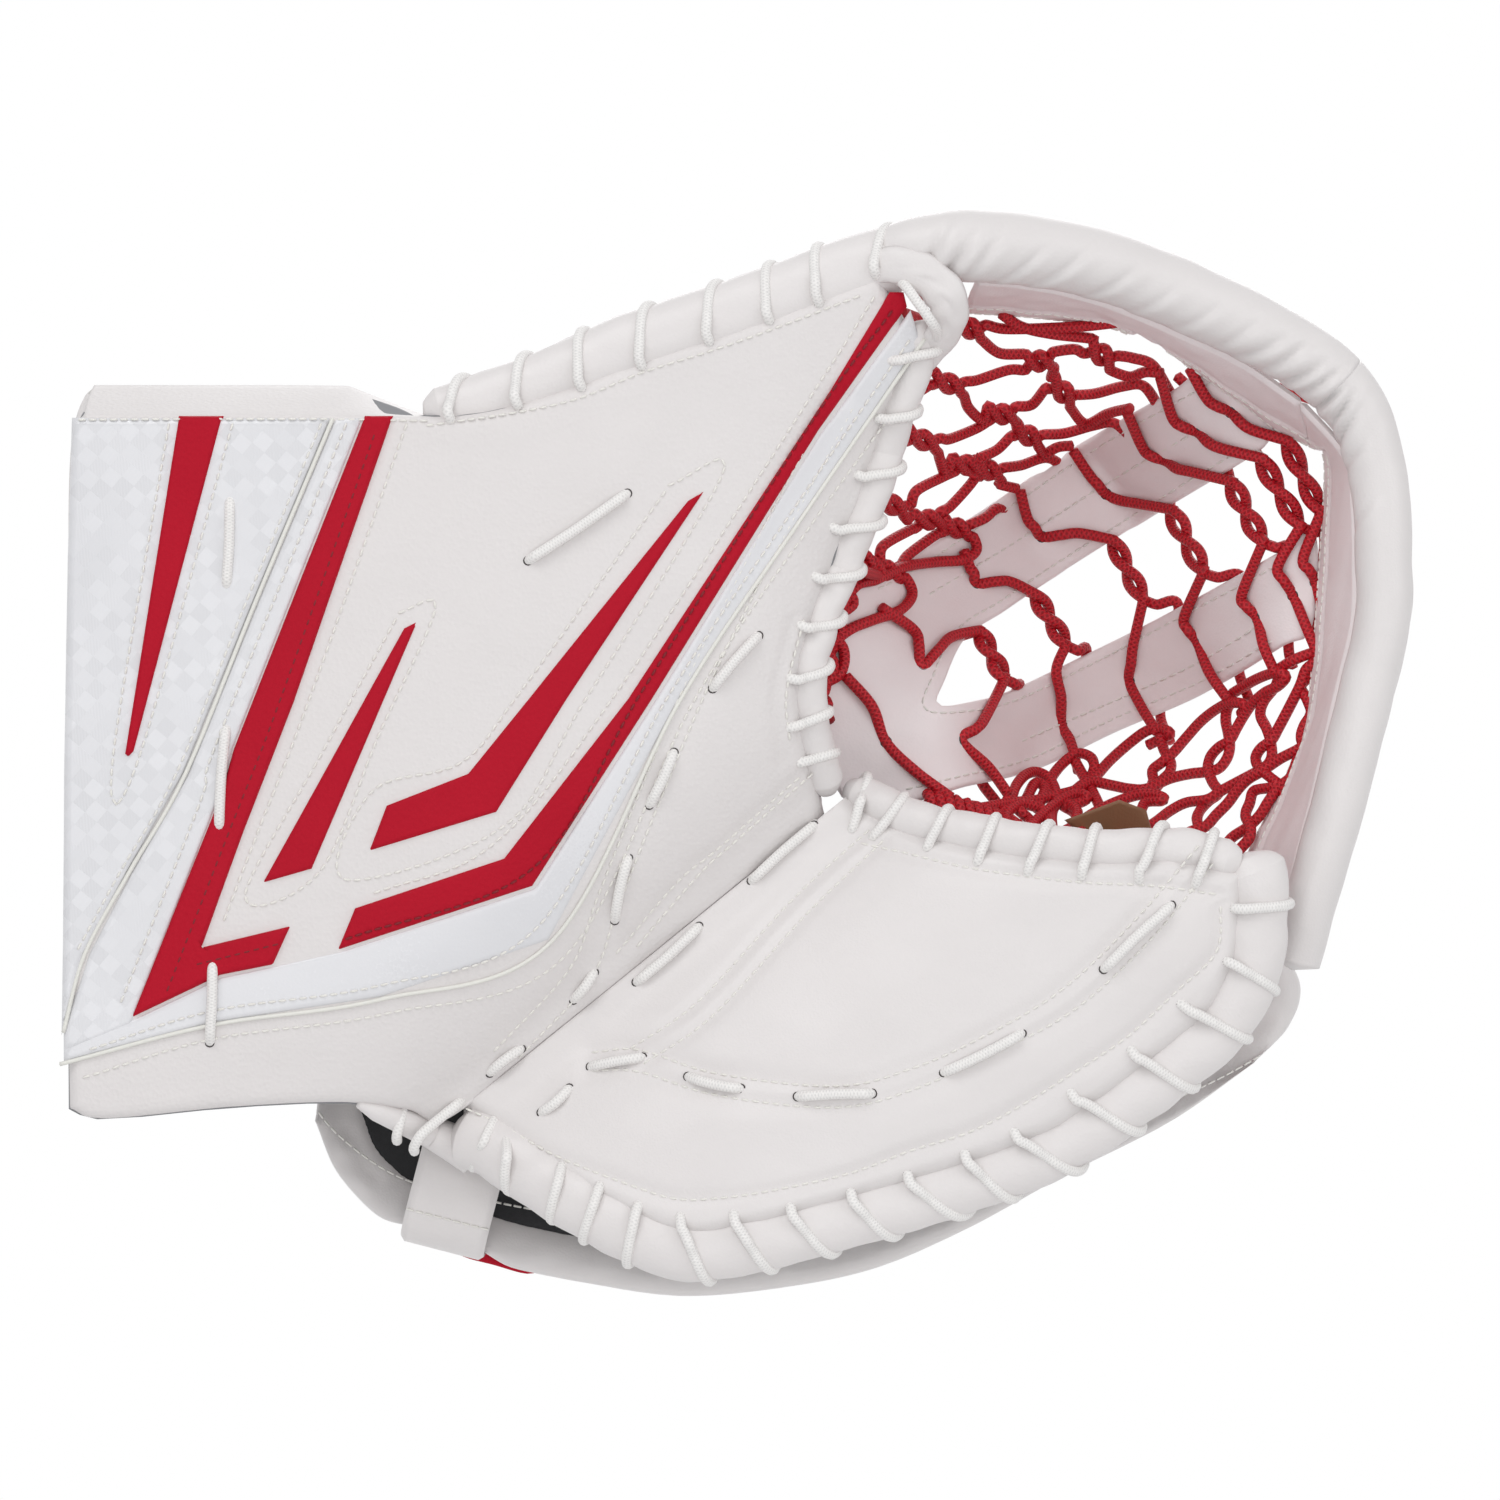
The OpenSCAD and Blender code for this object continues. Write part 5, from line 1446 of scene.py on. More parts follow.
STRAP_T = 2.6
POCKET_SEAMS = [
    [(232, 53), (243, 59), (270, 77), (298, 96), (320, 108), (331, 114)],
    [(346, 93), (338, 93), (312, 77.5), (285, 60.5), (271, 51), (257, 42), (249, 28), (246, 17.5),
     (262, 17.5), (277, 21.5), (301, 33), (325, 46), (350, 60)],
    [(240, -6), (257, -2), (279, 3), (305, 15), (330, 26), (349, 38)],
    [(248, 52), (274, 68), (302, 86), (325, 99)],
    [(276, 8), (302, 19), (328, 31), (346, 43)],
]


class GLOVE_OT_straps(bpy.types.Operator):
    """Make the pocket's leather: the base and the two T straps cut from one hide"""

    bl_idname = "glove.straps"
    bl_label = "T straps"

    def execute(self, context):
        form = cut_leather(Form(), POCKET_LEATHER, pocket_skin, STRAP_T, seed=8)
        folded_pair("strap_leather", form, "inner", ("upper_t_strap", "pocket_base"),
                    ("lower_t_strap",), merge=0.004)
        threads = Form()
        for line in POCKET_SEAMS:
            stitches(threads, line, pocket_skin, 2.9, 2.1, 0.32, 0.2)
        folded_pair("strap_stitches", threads, "thread")
        holes = Form()
        for x, z in UPPER_HOLES + LOWER_HOLES:
            at, normal = pocket_frame(x, z)
            hole(holes, at, normal, 1.6)
        folded_pair("strap_punchings", holes, "hole")
        patch = panel_form(Form(), [(287, -15), (303, -9), (311, -12), (314, -22), (298, -25)], patch_skin,
                           0.8, 0.5)
        piece("tan_pocket_patch", patch, "tan", "finger_side")
        return {"FINISHED"}


def patch_skin(p):
    return 13 - 0.35 * (np.asarray(p, float)[..., 1] + 24)


def pocket_frame(x, z):
    """A point of the pocket's front face and the direction out of it."""
    q = np.array([[x, z], [x + 0.5, z], [x, z + 0.5]], float)
    y = pocket_skin(q)
    normal = np.array([(y[1] - y[0]) * 2, -1.0, (y[2] - y[0]) * 2])
    return np.array([x, y[0], z]), normal / np.linalg.norm(normal)


UPPER_HOLES = [(336, 105), (327, 99.5), (319, 92), (303, 83.5), (283.5, 70.5), (263, 56), (245.5, 30.5)]
LOWER_HOLES = [(361, 55), (354.5, 51), (344.5, 44.5), (329, 38), (310, 26.5), (289.5, 13.5), (257.5, 8.5),
               (234.5, 8)]

# Knots of the nets: [x, z], the way their two cords run, and how long they are.
KNOTS = {
    "a1": (259, 129, -14, 9),
    "a2": (253, 113.5, -12, 11),
    "a3": (245.5, 97, -12, 11),
    "a4": (236.5, 78, -18, 11),
    "a5": (228, 61.5, -25, 9),
    "b1": (280, 120.5, 4, 9),
    "b2": (270, 106, 2, 9),
    "b3": (259.5, 91, 4, 9),
    "b4": (248, 74.5, 8, 9),
    "b5": (235, 59, -5, 9),
    "c1": (298, 122, -28, 10),
    "c2": (288, 112.5, -32, 10),
    "c3": (278.5, 100.5, -18, 10),
    "c4": (266.5, 90, -12, 10),
    "c5": (257, 72.5, -8, 9),
}

# Cords of the nets. A step is a knot with the side that the cord takes, or [x, z] and how far it stands off.
NET_CORDS = [
    [(250, 136, 0), ("a1", 0), (269, 129, 0), (280, 129, 1.5), (293, 129.5, 1), (307, 131, 1)],
    [(247, 130, 0), ("a1", 1), (268, 122.5, 0), ("b1", 0), (290, 123.5, 0), ("c1", 1), (307, 116, 0),
     (311, 117, 1), (316, 116.5, 1.8)],
    [(268, 133, 0), (274, 129.5, 1), (283, 127.5, 2), ("c1", 0), (307, 121, 0), (313, 119, 0),
     (318, 113, -4.5), (321, 108, -5)],
    [(243, 117, 0), ("a2", 0), (262, 115, 0), (271, 118, 0), ("b1", 1), (284, 116, 0), ("c2", 0),
     (298, 112, 0), (305, 113.5, 0), (311, 113.5, -1), (316, 108, -4.5), (319, 104, -5)],
    [(242, 110, 0), ("a2", 1), (259.5, 107, 0), (264, 104, 0), ("b2", 0), (279, 109, 0), ("c2", 1),
     (296, 104, 0), (302, 106.5, 1), (308, 107.5, 1.8)],
    [(236, 100, 0), ("a3", 0), (254, 98, 0), (262, 101.5, 0), ("b2", 1), (275, 102, 0), ("c3", 0),
     (290, 101.5, 0), (298, 103.5, 0), (304, 104, -1), (309, 100, -4.5), (311, 96, -5)],
    [(235, 93, 0), ("a3", 1), (251, 92, 0), (253, 88, 0), ("b3", 0), (269, 96, 0), ("c3", 1),
     (284, 95.5, 0), (288, 97.5, 1), (292.5, 98, 1.8)],
    [(227, 82, 0), ("a4", 0), (244, 82.5, 0), (252, 87, 0), ("b3", 1), (264, 88, 0), ("c4", 0),
     (277, 92, 0), (285, 94.5, -1), (291, 91, -4.5), (293, 87, -5)],
    [(225, 75, 0), ("a4", 1), (241.5, 74, 0), ("b4", 0), (255, 79, 0), (262, 87, 0), ("c4", 1),
     (270, 86, 1), (275.5, 85, 1.8)],
    [(219, 65, 0), ("a5", 0), (234, 66, 0), (242, 71, 0), ("b4", 1), (252, 71, 0), ("c5", 0), (266, 76, 1),
     (270, 79, -1), (275, 76, -4.5), (278, 72, -5)],
    [(217, 59, 0), ("a5", 1), (231, 58, 0), ("b5", 0), (242, 64, 0), (250, 70, 0), ("c5", 1), (262, 70, 2),
     (263, 66, 3), (259, 63, 3), (250, 62, 3), (240, 60, 3), (232, 56, 2), (226, 54, 2), (222, 48, 2),
     (221, 40, 2), (218, 34, 1), (214, 30, 0)],
    [(233, 57, 0), ("b5", 1), (241, 57, 2), (243, 52, 3), (239, 47, 3), (231, 44, 2.5), (224, 41, 2),
     (218, 36, 2), (214, 31, 1)],
    [(224, 57, 1), (219, 50, 2), (217, 42, 2), (222, 35, 2.5), (221, 28, 2), (215, 24, 1), (214, 18, 1),
     (216, 10, 0)],
    [(219, 55, 0), (225, 49, 2), (219, 44, 3), (215, 38, 2), (219, 31, 3), (217, 25, 2), (213, 22, 0)],
    [(318.5, 10, 1.8), (319.5, 5.5, -1), (321, 2, -1), (320.5, -1, -1), (318, -3.5, -1), (315, -7, -2)],
    [(314, -7, -1.5), (315.5, -3.5, -1), (315.5, -0.5, 1), (318.5, 2, 2), (322, 5, 1.5), (326, 9.5, 1),
     (330, 14, 1), (334, 17.5, 2), (337.5, 19.5, 3), (341, 19.5, 3), (342.5, 18, 1), (341, 16.5, -1)],
    [(339, 20.5, 1.8), (337.5, 18, 0), (337, 14.5, -1), (337.5, 10.5, -1.5), (337.5, 6.5, 0),
     (336.5, 3, -1), (334, 0, -1.5), (330, -1, 0), (326, -1.5, 1), (320, -3, 1), (313, -6, 1.5),
     (308, -6, 1.5), (303, -5, 2), (297, -4, 2.5), (292, -6.5, 2), (286, -8, 2), (279, -9.5, 2),
     (272, -10, 1.5), (262, -11.5, 1), (252, -12, 0)],
    [(339, 22.5, -2), (344, 26, -1), (348, 28, 1.5), (351, 28.5, 2.5), (352.5, 27, 2.5), (350.5, 24.5, 2),
     (347, 22.5, 1.5), (344, 19.5, 1), (341.5, 15.5, 0.5), (339.5, 12, 1.5), (337.5, 8.5, 2),
     (334.5, 6.5, 2), (332, 3.5, 1), (331, 0, 1.5), (332, -4, 0), (333.5, -7, -1), (330.5, -9.5, -1.5),
     (328, -12, -1), (326.5, -14.5, 1), (326.5, -17.5, 1), (325, -20, -1), (323.5, -24, -1.5)],
    [(350, 29, 0), (354.5, 32, 1), (359.5, 34, 1), (364, 35, 0.5)],
    [(351, 28.5, 1.8), (350, 24.5, 0), (347, 20, 0), (346, 16, 0), (347.5, 12, 0), (348.5, 8, -1),
     (348.5, 3.5, -1), (346.5, 0.5, -1), (343, -1.5, -0.5), (338.5, -4, 0), (334, -6.5, 1), (330, -9, 2),
     (324, -10, 1.5), (319, -12.5, 1), (312, -17, 1), (304, -18.5, 1)],
    [(364, 35, 1), (360, 31, 1), (358, 29, 1), (356.5, 24.5, 1), (353.5, 18, 1), (350.5, 12, 1),
     (348.5, 8.5, 1.5), (345.5, 6, 1.5), (344, 3, 1), (345, 0, 1.5), (347.5, -2.5, 1.5), (349.5, -4.5, 1),
     (347, -5.5, 0.5), (343, -6.5, -1), (341.5, -10, 0), (340, -13.5, 1), (341, -17, 1.5),
     (340.5, -20, 1.5), (337.5, -23.5, 0.5), (334, -27, -1)],
    [(362, 33, 1.8), (361, 29, 0), (357, 24.5, -1), (358.5, 20.5, 0), (359.5, 16.5, 0), (357.5, 13, 1),
     (356.5, 10, 1), (357, 7.5, 0), (359.5, 5, -1)],
    [(363, 28, 0), (361, 23, 0), (360, 18, -1), (359, 14.5, -1), (358.5, 10, 0), (356.5, 6.5, 1),
     (350.5, 3, 1), (345.5, -0.5, 2), (341.5, -3, 2), (338.5, -6, 2), (335.5, -10, 1.5), (332, -13.5, 1),
     (328.5, -17, 1), (324, -18.5, 1.5), (321, -21, 0), (319, -25, -1)],
    [(357, 0.5, 1), (352.5, -3, 1), (349.5, -5.5, 1), (346.5, -9.5, 1), (344, -13.5, 0), (340.5, -17, -1),
     (336, -20, -1), (333.5, -23, 0), (331, -28, 0)],
    [(364.5, 12, 2), (360.5, 8.5, 1.5), (357.5, 3.5, 1.5), (355.5, -0.5, 1.5), (353.5, -3.5, 1.5),
     (352, -8, 0.5), (353.5, -11.5, -2)],
    [(364, 10.5, 0), (359, 6.5, 0), (355.5, 3, 0), (354, -0.5, 0.5), (352.5, -3.5, 0.5), (351, -7.5, -0.5),
     (353, -11.5, -3)],
    [(280, -12, 0), (284.5, -4, 1), (288.5, 1, 2), (293.5, 4.5, 3), (297.5, 3.5, 3), (298.5, 0.5, 2),
     (297.5, -2.5, -1), (296, -7, -2)],
    [(290, -9, -1), (293.5, -5.5, -1), (298.5, -2.5, 0), (303.5, 2.5, 0.5), (310, 8, 1), (315, 11.5, 2.5),
     (319, 12, 3), (321.5, 10.5, 2.5), (319, 9, -1), (315, 7, -2)],
    [(293, 2, 1.8), (295, -2, 0), (297, -6, -1), (299, -11.5, -1)],
    [(268, -14, 0), (272, -9, 1), (274, -5, 2), (277, -2, 3), (280.5, -1, 3), (284, -2.5, 3), (286, -6, 2),
     (286, -10, 1), (284, -15, 0)],
    [(277, -9, -1), (280, -4.5, 1), (282.5, -5, 1), (284.5, -8, 0), (288, -11, -1), (292, -15, -1)],
    [(276, -20, 0), (278.5, -16, 1), (284, -11.5, 2.5), (289, -8.5, 3), (293, -7.5, 3), (295.5, -8.5, 2.5),
     (293.5, -10, 0), (288, -11.5, -1)],
    [(286, -19, 0), (291, -16.5, 0.5), (297, -13, 1), (303.5, -10, 1.5), (309.5, -8, 2), (314, -7.5, 3),
     (317.5, -8.5, 3), (317, -9.5, 2), (312.5, -10, 0), (310.5, -13.5, 0), (310, -17, 0), (309, -22, 0)],
    [(266, -18, 0), (269, -15, 1), (271, -12.5, 2), (274.5, -10.5, 3), (278.5, -11, 3), (281.5, -12.5, 2),
     (283, -17, 1)],
    [(287, -9, 0), (291.5, -12, 1), (291.5, -14.5, 1), (289, -20, 0.5)],
    [(270, -8.5, 1.6), (274.5, -12.5, 1), (278, -17, 0)],
]
ROPES = [[(226, 60), (220, 51), (216, 40), (214.5, 28), (216, 14)],
         [(246, -9), (255, -11), (265, -14), (274, -18)]]

# Cords on the straps: where each starts, its hole, where it twists with the cord behind, and its second hole.
STRAP_CORDS = [
    ((324, 118.5), (329.5, 110), (336, 105), (343, 100), (352.5, 96.5), (362.5, 75.5), (357.5, 62), (361,
     55), (365.5, 37)),
    ((316, 116.5), (320.5, 105.5), (327, 99.5), (335.5, 95), (345, 91.5), (356.5, 71.5), (351, 60), (354.5,
     51), (362, 33)),
    ((308, 107.5), (313.5, 97.5), (319, 92), (328, 89), (337, 85), (346, 67), (342, 52), (344.5, 44.5),
     (351, 28.5)),
    ((292.5, 98), (298, 89), (303, 83.5), (313.5, 81), (321.5, 78), (330.5, 59), (327, 46), (329, 38), (339,
     20.5)),
    ((275.5, 85), (279, 76), (283.5, 70.5), (295, 71.5), (305, 69.5), (314, 51.5), (311.5, 38), (310, 26.5),
     (318.5, 10)),
    ((258, 66), (260, 60.5), (263, 56), (273, 56), (281, 53), (290.5, 37.5), (286.5, 30), (289.5, 13.5),
     (293, 2)),
    ((232, 47.5), (242, 40.5), (245.5, 30.5), (254, 38.5), (263.5, 41.5), (271, 27), (263, 15), (257.5,
     8.5), (270, -8.5)),
]


def knot_paths(x, z, degrees, length, r):
    """The two cords of a knot, as points that wind about its middle line."""
    way = np.array([math.cos(math.radians(degrees)), math.sin(math.radians(degrees))])
    side = np.array([-way[1], way[0]])
    t = np.linspace(0, 1, 11)
    out = []
    for sign in (1, -1):
        points = []
        for f in t:
            a = 2 * math.pi * f
            spread = 1.05 + 0.25 * math.cos(math.pi * f) ** 6
            q = np.array([x, z]) + way * (f - 0.5) * length + side * sign * math.cos(a) * r * spread
            points.append((q[0], q[1], sign * math.sin(a) * r * 1.05))
        out.append(points)
    return out


def hung_cord(steps, r):
    """A net cord through its steps, as [x, y, z]."""
    points = []
    for step in steps:
        if isinstance(step[0], str):
            points += knot_paths(*KNOTS[step[0]], r)[step[1]]
        else:
            points.append(step)
    p = np.array(points, float)
    path = np.stack([p[:, 0], pocket_skin(p[:, :2]) - p[:, 2], p[:, 1]], -1)
    if path[0, 0] < 256 and path[0, 2] > 50:
        root = path[0, [0, 2]] + [-9, 1]
        path = np.vstack([[root[0], thumb_base_y(root[None])[0] + THUMB_BOARD_T - 3, root[1]], path])
    if path[-1, 0] > 262 and path[-1, 2] < -12:
        root = np.array([path[-1, 0] - 1, min(path[-1, 2] - 6, -29)])
        path = np.vstack([path, [root[0], finger_base_y(root[None])[0] + FINGER_BOARD_T - 3, root[1]]])
    return path


def off_pocket(points, lifts):
    """[x, z] points lifted off the pocket's face along its normal."""
    placed = []
    for (x, z), lift in zip(points, lifts):
        at, normal = pocket_frame(x, z)
        placed.append(at + normal * lift)
    return placed


def halfway(a, b, shift=(0, 0)):
    """The point between two [x, z] points, shifted."""
    return ((a[0] + b[0]) / 2 + shift[0], (a[1] + b[1]) / 2 + shift[1])


def eyes(a, b, r):
    """Two cords that cross three times between a and b, which leaves two eyes between them."""
    t = np.linspace(0, 1, 33)
    flat = np.array(a)[None] * (1 - t)[:, None] + np.array(b)[None] * t[:, None]
    way = units(flat[-1] - flat[0])
    side = np.array([-way[1], way[0]])
    swing = np.sin(2 * math.pi * t)[:, None] * side * 1.75
    over = np.cos(2 * math.pi * t) * r * 1.05
    one, two = flat + swing, flat - swing
    y_one, y_two = pocket_skin(one) - over, pocket_skin(two) + over
    return (np.stack([one[:, 0], y_one, one[:, 1]], -1), np.stack([two[:, 0], y_two, two[:, 1]], -1))


class GLOVE_OT_net(bpy.types.Operator):
    """Lay the red cords of the pocket: the knotted nets, and the cords that lace the two straps"""

    bl_idname = "glove.net"
    bl_label = "Net"

    def execute(self, context):
        r = context.scene.glove_sizes.cord_r / MM
        top, side, middle = Form(), Form(), Form()
        for steps in NET_CORDS:
            path = hung_cord(steps, r)
            upper = path[:, 2].mean() > 38
            cord(top if upper else side, path, r)
        for k, line in enumerate(ROPES):
            run = even(line, CORD_STEP)
            t = np.linspace(0, 1, len(run))
            way = units(np.gradient(run, axis=0))
            across_way = np.stack([-way[:, 1], way[:, 0]], -1)
            for phase in (0, math.pi):
                a = 2 * math.pi * 5 * t + phase
                q = run + across_way * (np.cos(a) * r * 1.2)[:, None]
                y = pocket_skin(q) - 2 - np.sin(a) * r * 1.1
                (side if k else top).tube(np.stack([q[:, 0], y, q[:, 1]], -1), r, CORD_SIDES)
        for start, on_1, hole_1, off_1, cross, split, on_2, hole_2, end in STRAP_CORDS:
            one, two = eyes(cross, split, r)
            f, b = r + 0.15, -STRAP_T - r - 0.2
            head = off_pocket([start, on_1, halfway(on_1, hole_1), hole_1, halfway(off_1, hole_1), off_1],
                              [f, f, f, -0.6, f, f])
            foot = off_pocket([on_2, halfway(on_2, hole_2), hole_2, halfway(end, hole_2), end],
                              [f, f, -0.6, f, f])
            cord(middle, [*head, *one, *foot], r)
            behind = off_pocket([(start[0] + 3, start[1] - 3), (hole_1[0] + 5, hole_1[1] + 2), off_1,
                                 halfway(off_1, cross, (0, 1.5))], [b, b, b, b])
            back_way = np.array(split) + np.array([7.5, -3.5])
            after = off_pocket([halfway(split, back_way), back_way, halfway(hole_2, end, (3, 2)),
                                (end[0] + 1, end[1] + 0.5)], [0, b, b, b])
            cord(middle, [*behind, *two, *after], r)
        edge = off_pocket([(222, 27), (230, 18), (234.5, 8), (243, -1), (253, -9)],
                          [1.6, 1.6, -0.4, 1.6, 1.6])
        cord(middle, edge, r)
        rim = [(329, 5.9, 119), (338, 5.7, 116.5), (344, 6.3, 113), (350, 5.7, 111.5), (361, 7.0, 108)]
        cord(top, rim, r)
        right = [(369, 11.5, 75), (366, 9.5, 71), (365.3, 9.1, 65), (367.5, 10.5, 57.5), (366.3, 9.3, 50),
                 (364.5, 9.5, 37)]
        cord(side, right, r)
        piece("top_net_cords", top, "cord", bend=TOP_RIM_BEND, stands_for=("net_top",))
        piece("side_net_cords", side, "cord", bend=SIDE_RIM_BEND, stands_for=("net_side",))
        folded_pair("strap_cords", middle, "cord", ("net_middle",))
        return {"FINISHED"}


def pad_point(u, v, depth):
    """Grid of points on the back pad, v 0 at its outer edge, depth behind its front face."""
    u, v = np.asarray(u, float), np.asarray(v, float)
    flat = filled(PAD_WRIST, PAD_TIP, PAD_OUTER, PAD_INNER, u, v)
    front = PAD_FRONT - PAD_FALL * u[None, :] - PAD_CURL * (1 - v[:, None]) ** 3
    return np.stack([flat[..., 0], front + depth, flat[..., 1]], -1)


def pad_grid(u0, u1, v0, v1, nu, nv, depth):
    return pad_point(np.linspace(u0, u1, nu), np.linspace(v0, v1, nv), depth)


class GLOVE_OT_back_pad(bpy.types.Operator):
    """Make the back pad: its quilted cover, lining, binding and piping"""

    bl_idname = "glove.back_pad"
    bl_label = "Back pad"

    def execute(self, context):
        u, v = bunched(150, 0.05), bunched(70, 0.1)
        flat = pad_point(u, v, 0)
        xz = flat[..., [0, 2]]
        edge = looped(boundary(xz))
        e = distance_to(xz, [edge])
        channels = [[(118, -142), (150, -96), (190, -40)], [(200, -148), (226, -96), (240, -46)],
                    [(272, -124), (290, -88), (300, -54)]]
        crown = 2.5 * (1 - np.exp(-e / 12)) - grooved(xz, channels, 2.2, 4.5)
        wave = 0.3 * ripple(xz[..., 0], xz[..., 1], 60, 7)
        back = flat.copy()
        back[..., 1] += PAD_T - 1.5 + crown - round_drop(e, 6.5) + wave
        front = flat.copy()
        rim = 1 / (1 + np.exp((e - 14) * 1.6))
        pleats = 0.5 * ripple(xz[..., 0], xz[..., 1], 14, 9)
        front[..., 1] += 3.4 - 4.6 * rim + round_drop(e, 6.0) + pleats * rim
        squeeze = 4.0 * np.exp(-(((xz[..., 0] - 104) / 15) ** 4)) * np.exp(-e / 14)
        for face in (back, front):
            face[..., 2] += squeeze
        cover = shell(Form(), front, back)
        piece("back_pad_leather", cover, "smooth", "finger_side",
              stands_for=("back_pad_cover",), merge=0.01)
        hand = pad_grid(0.03, 0.97, 0.06, 0.97, 140, 70, 0)
        nap = 0.3 * ripple(hand[..., 0], hand[..., 2], 24, 8)
        inset = distance_to(hand[..., [0, 2]], [edge])
        nap = nap + 7 / (1 + np.exp((inset - 11.5) * 1.6))
        inner = hand.copy()
        inner[..., 1] += nap + 0.6
        outer = hand.copy()
        outer[..., 1] += nap * 0.2 + 9.0
        piece("back_pad_lining", shell(Form(), inner, outer), "lining", "finger_side",
              stands_for=("back_pad_foam",))
        seam = Form()
        uu, vv = np.linspace(0.05, 0.95, 220), np.linspace(0.085, 0.975, 62)
        for line in (pad_point(uu, np.array([0.085]), -1.4)[0], pad_point(np.array([0.95]), vv, -1.4)[:, 0]):
            thread_run(seam, even(line, 3), (0.3, 0.8, 2.0, 2.5), 0.32)
        piece("back_pad_stitches", seam, "thread", "finger_side")
        line = pad_grid(0.3, 0.96, 0.004, 0.004, 120, 1, PAD_T - 2.5)[0] + [0, 0, 0.4]
        piping = Form()
        piping.tube(line, 1.6, 12)
        piece("red_piping", piping, "red", "finger_side", stands_for=("back_pad_piping",))
        return {"FINISHED"}


HAND_STRAPS = {
    "hand_strap": ((0.15, 0.24, 0.0, 0.92), PAD_T + 2.6, 2.5, "webbing", "webbing", "finger_side"),
    "pull_tab": ((0.15, 0.24, 0.16, 0.66), PAD_T + 11.7, 2.5, "red", "red_leather", "strap_tail"),
}
# How the leather loop runs round the webbing: out from the pad's edge, and back.
LOOP_RUN = [(-33, -7.5), (-22, -9), (-11, -8.5), (-5, -4), (-2.2, 5), (-1.8, 16), (-1.8, 26), (-4, 31.5),
            (-9, 33), (-16, 33)]
STRAP_END = [(108, -138), (130, -139), (133, -147), (129, -150), (119, -147.5), (108, -144)]
HOOK_PATCH = [(119.5, -132), (130, -135), (132.5, -146), (122, -144.5)]
# The webbing's folded end: shares of the way over the pad, and how far it stands off the pad's back.
TAIL_FOLD = [(0.06, 3.9), (0.03, 3.9), (0.01, 4.1), (-0.005, 5.0), (-0.01, 6.8), (-0.005, 8.6), (0.01, 9.6),
             (0.03, 9.95), (0.06, 9.95)] + [(v, 9.95) for v in np.linspace(0.08, 0.62, 48)]
TAIL_BEND = ("finger_side", "strap_tail",
             np.array([99.5, PAD_T + 17.2, -132.5]), np.array([99.5, PAD_T + 20.5, -132.5]))


class GLOVE_OT_hand_straps(bpy.types.Operator):
    """Make the webbing over the back pad, its folded tail, the pull tab and the leather loop"""

    bl_idname = "glove.hand_straps"
    bl_label = "Hand straps"

    def execute(self, context):
        for node, ((u0, u1, v0, v1), depth, t, finish, slot, body) in HAND_STRAPS.items():
            grid = pad_grid(u0, u1, v0, v1, 18, 70, depth + t / 2)
            piece(f"{node}_sewn", sewn_sheet(Form(), grid, t * 0.92), finish, body, stands_for=(node,))
        width = np.linspace(0.15, 0.24, 18)
        tail = np.concatenate([pad_point(width, np.array([v]), PAD_T + off) for v, off in TAIL_FOLD])
        piece("strap_tail_sewn", sewn_sheet(Form(), tail, 2.3), "webbing", bend=TAIL_BEND,
              stands_for=("strap_tail",))
        heel = curve(PAD_OUTER, np.array([0.25]))[0]
        h = heading(PAD_OUTER, np.array([0.25]))[0]
        across_w = np.linspace(-21.5, 3.5, 20)
        line = even(LOOP_RUN, 1.2)
        grid = np.array([[(heel[0] + h[0] * w + h[1] * o, y, heel[1] + h[1] * w - h[0] * o) for w in across_w]
                         for o, y in line])
        piece("leather_strap_loop", sewn_sheet(Form(), grid, 2.6), "rolled", "finger_side",
              stands_for=("strap_loop",))
        thread = Form()
        for row in (int(np.argmin(abs(line[:, 0] + 15))), int(np.argmin(abs(line[:, 0] + 12)))):
            thread_run(thread, even(grid[row] + [0, -1.45, 0], THREAD_PITCH), THREAD_MARKS, 0.32)
        piece("strap_loop_stitches", thread, "thread", "finger_side")
        flap = cut_leather(Form(), STRAP_END, level(25), 2.4)
        hook = cut_leather(Form(), HOOK_PATCH, level(15), 2.0)
        piece("red_strap_end", flap, "red", "finger_side")
        piece("hook_patch", hook, "lining", "finger_side")
        return {"FINISHED"}


def stall_point(s, degrees, t):
    """A point of the thumb stall's arch, s along the thumb and grown outwards by t."""
    a = np.radians(degrees)
    close = np.sqrt(1 - (s * 0.93) ** 5)
    start, end = np.array([142.0, 4.0]), np.array([194.0, 96.0])
    way = units(end - start)
    middle = start + (end - start) * s[..., None]
    half = 20 * close + t
    p = middle + (half * np.cos(a))[..., None] * np.array([-way[1], way[0]])
    seat = thumb_base_y(p) + THUMB_BOARD_T + 0.5
    y = seat + (30 * close + t) * np.abs(np.sin(a)) ** 0.6
    return np.stack([p[..., 0], y, p[..., 1] + leant(p, THUMB_BOARD_T)], -1)


def stall_grid(s0, a0, t, ns=40, na=60):
    s, a = np.meshgrid(np.linspace(s0, 1, ns), np.linspace(a0, 180 - a0, na), indexing="ij")
    return stall_point(s, a, t)


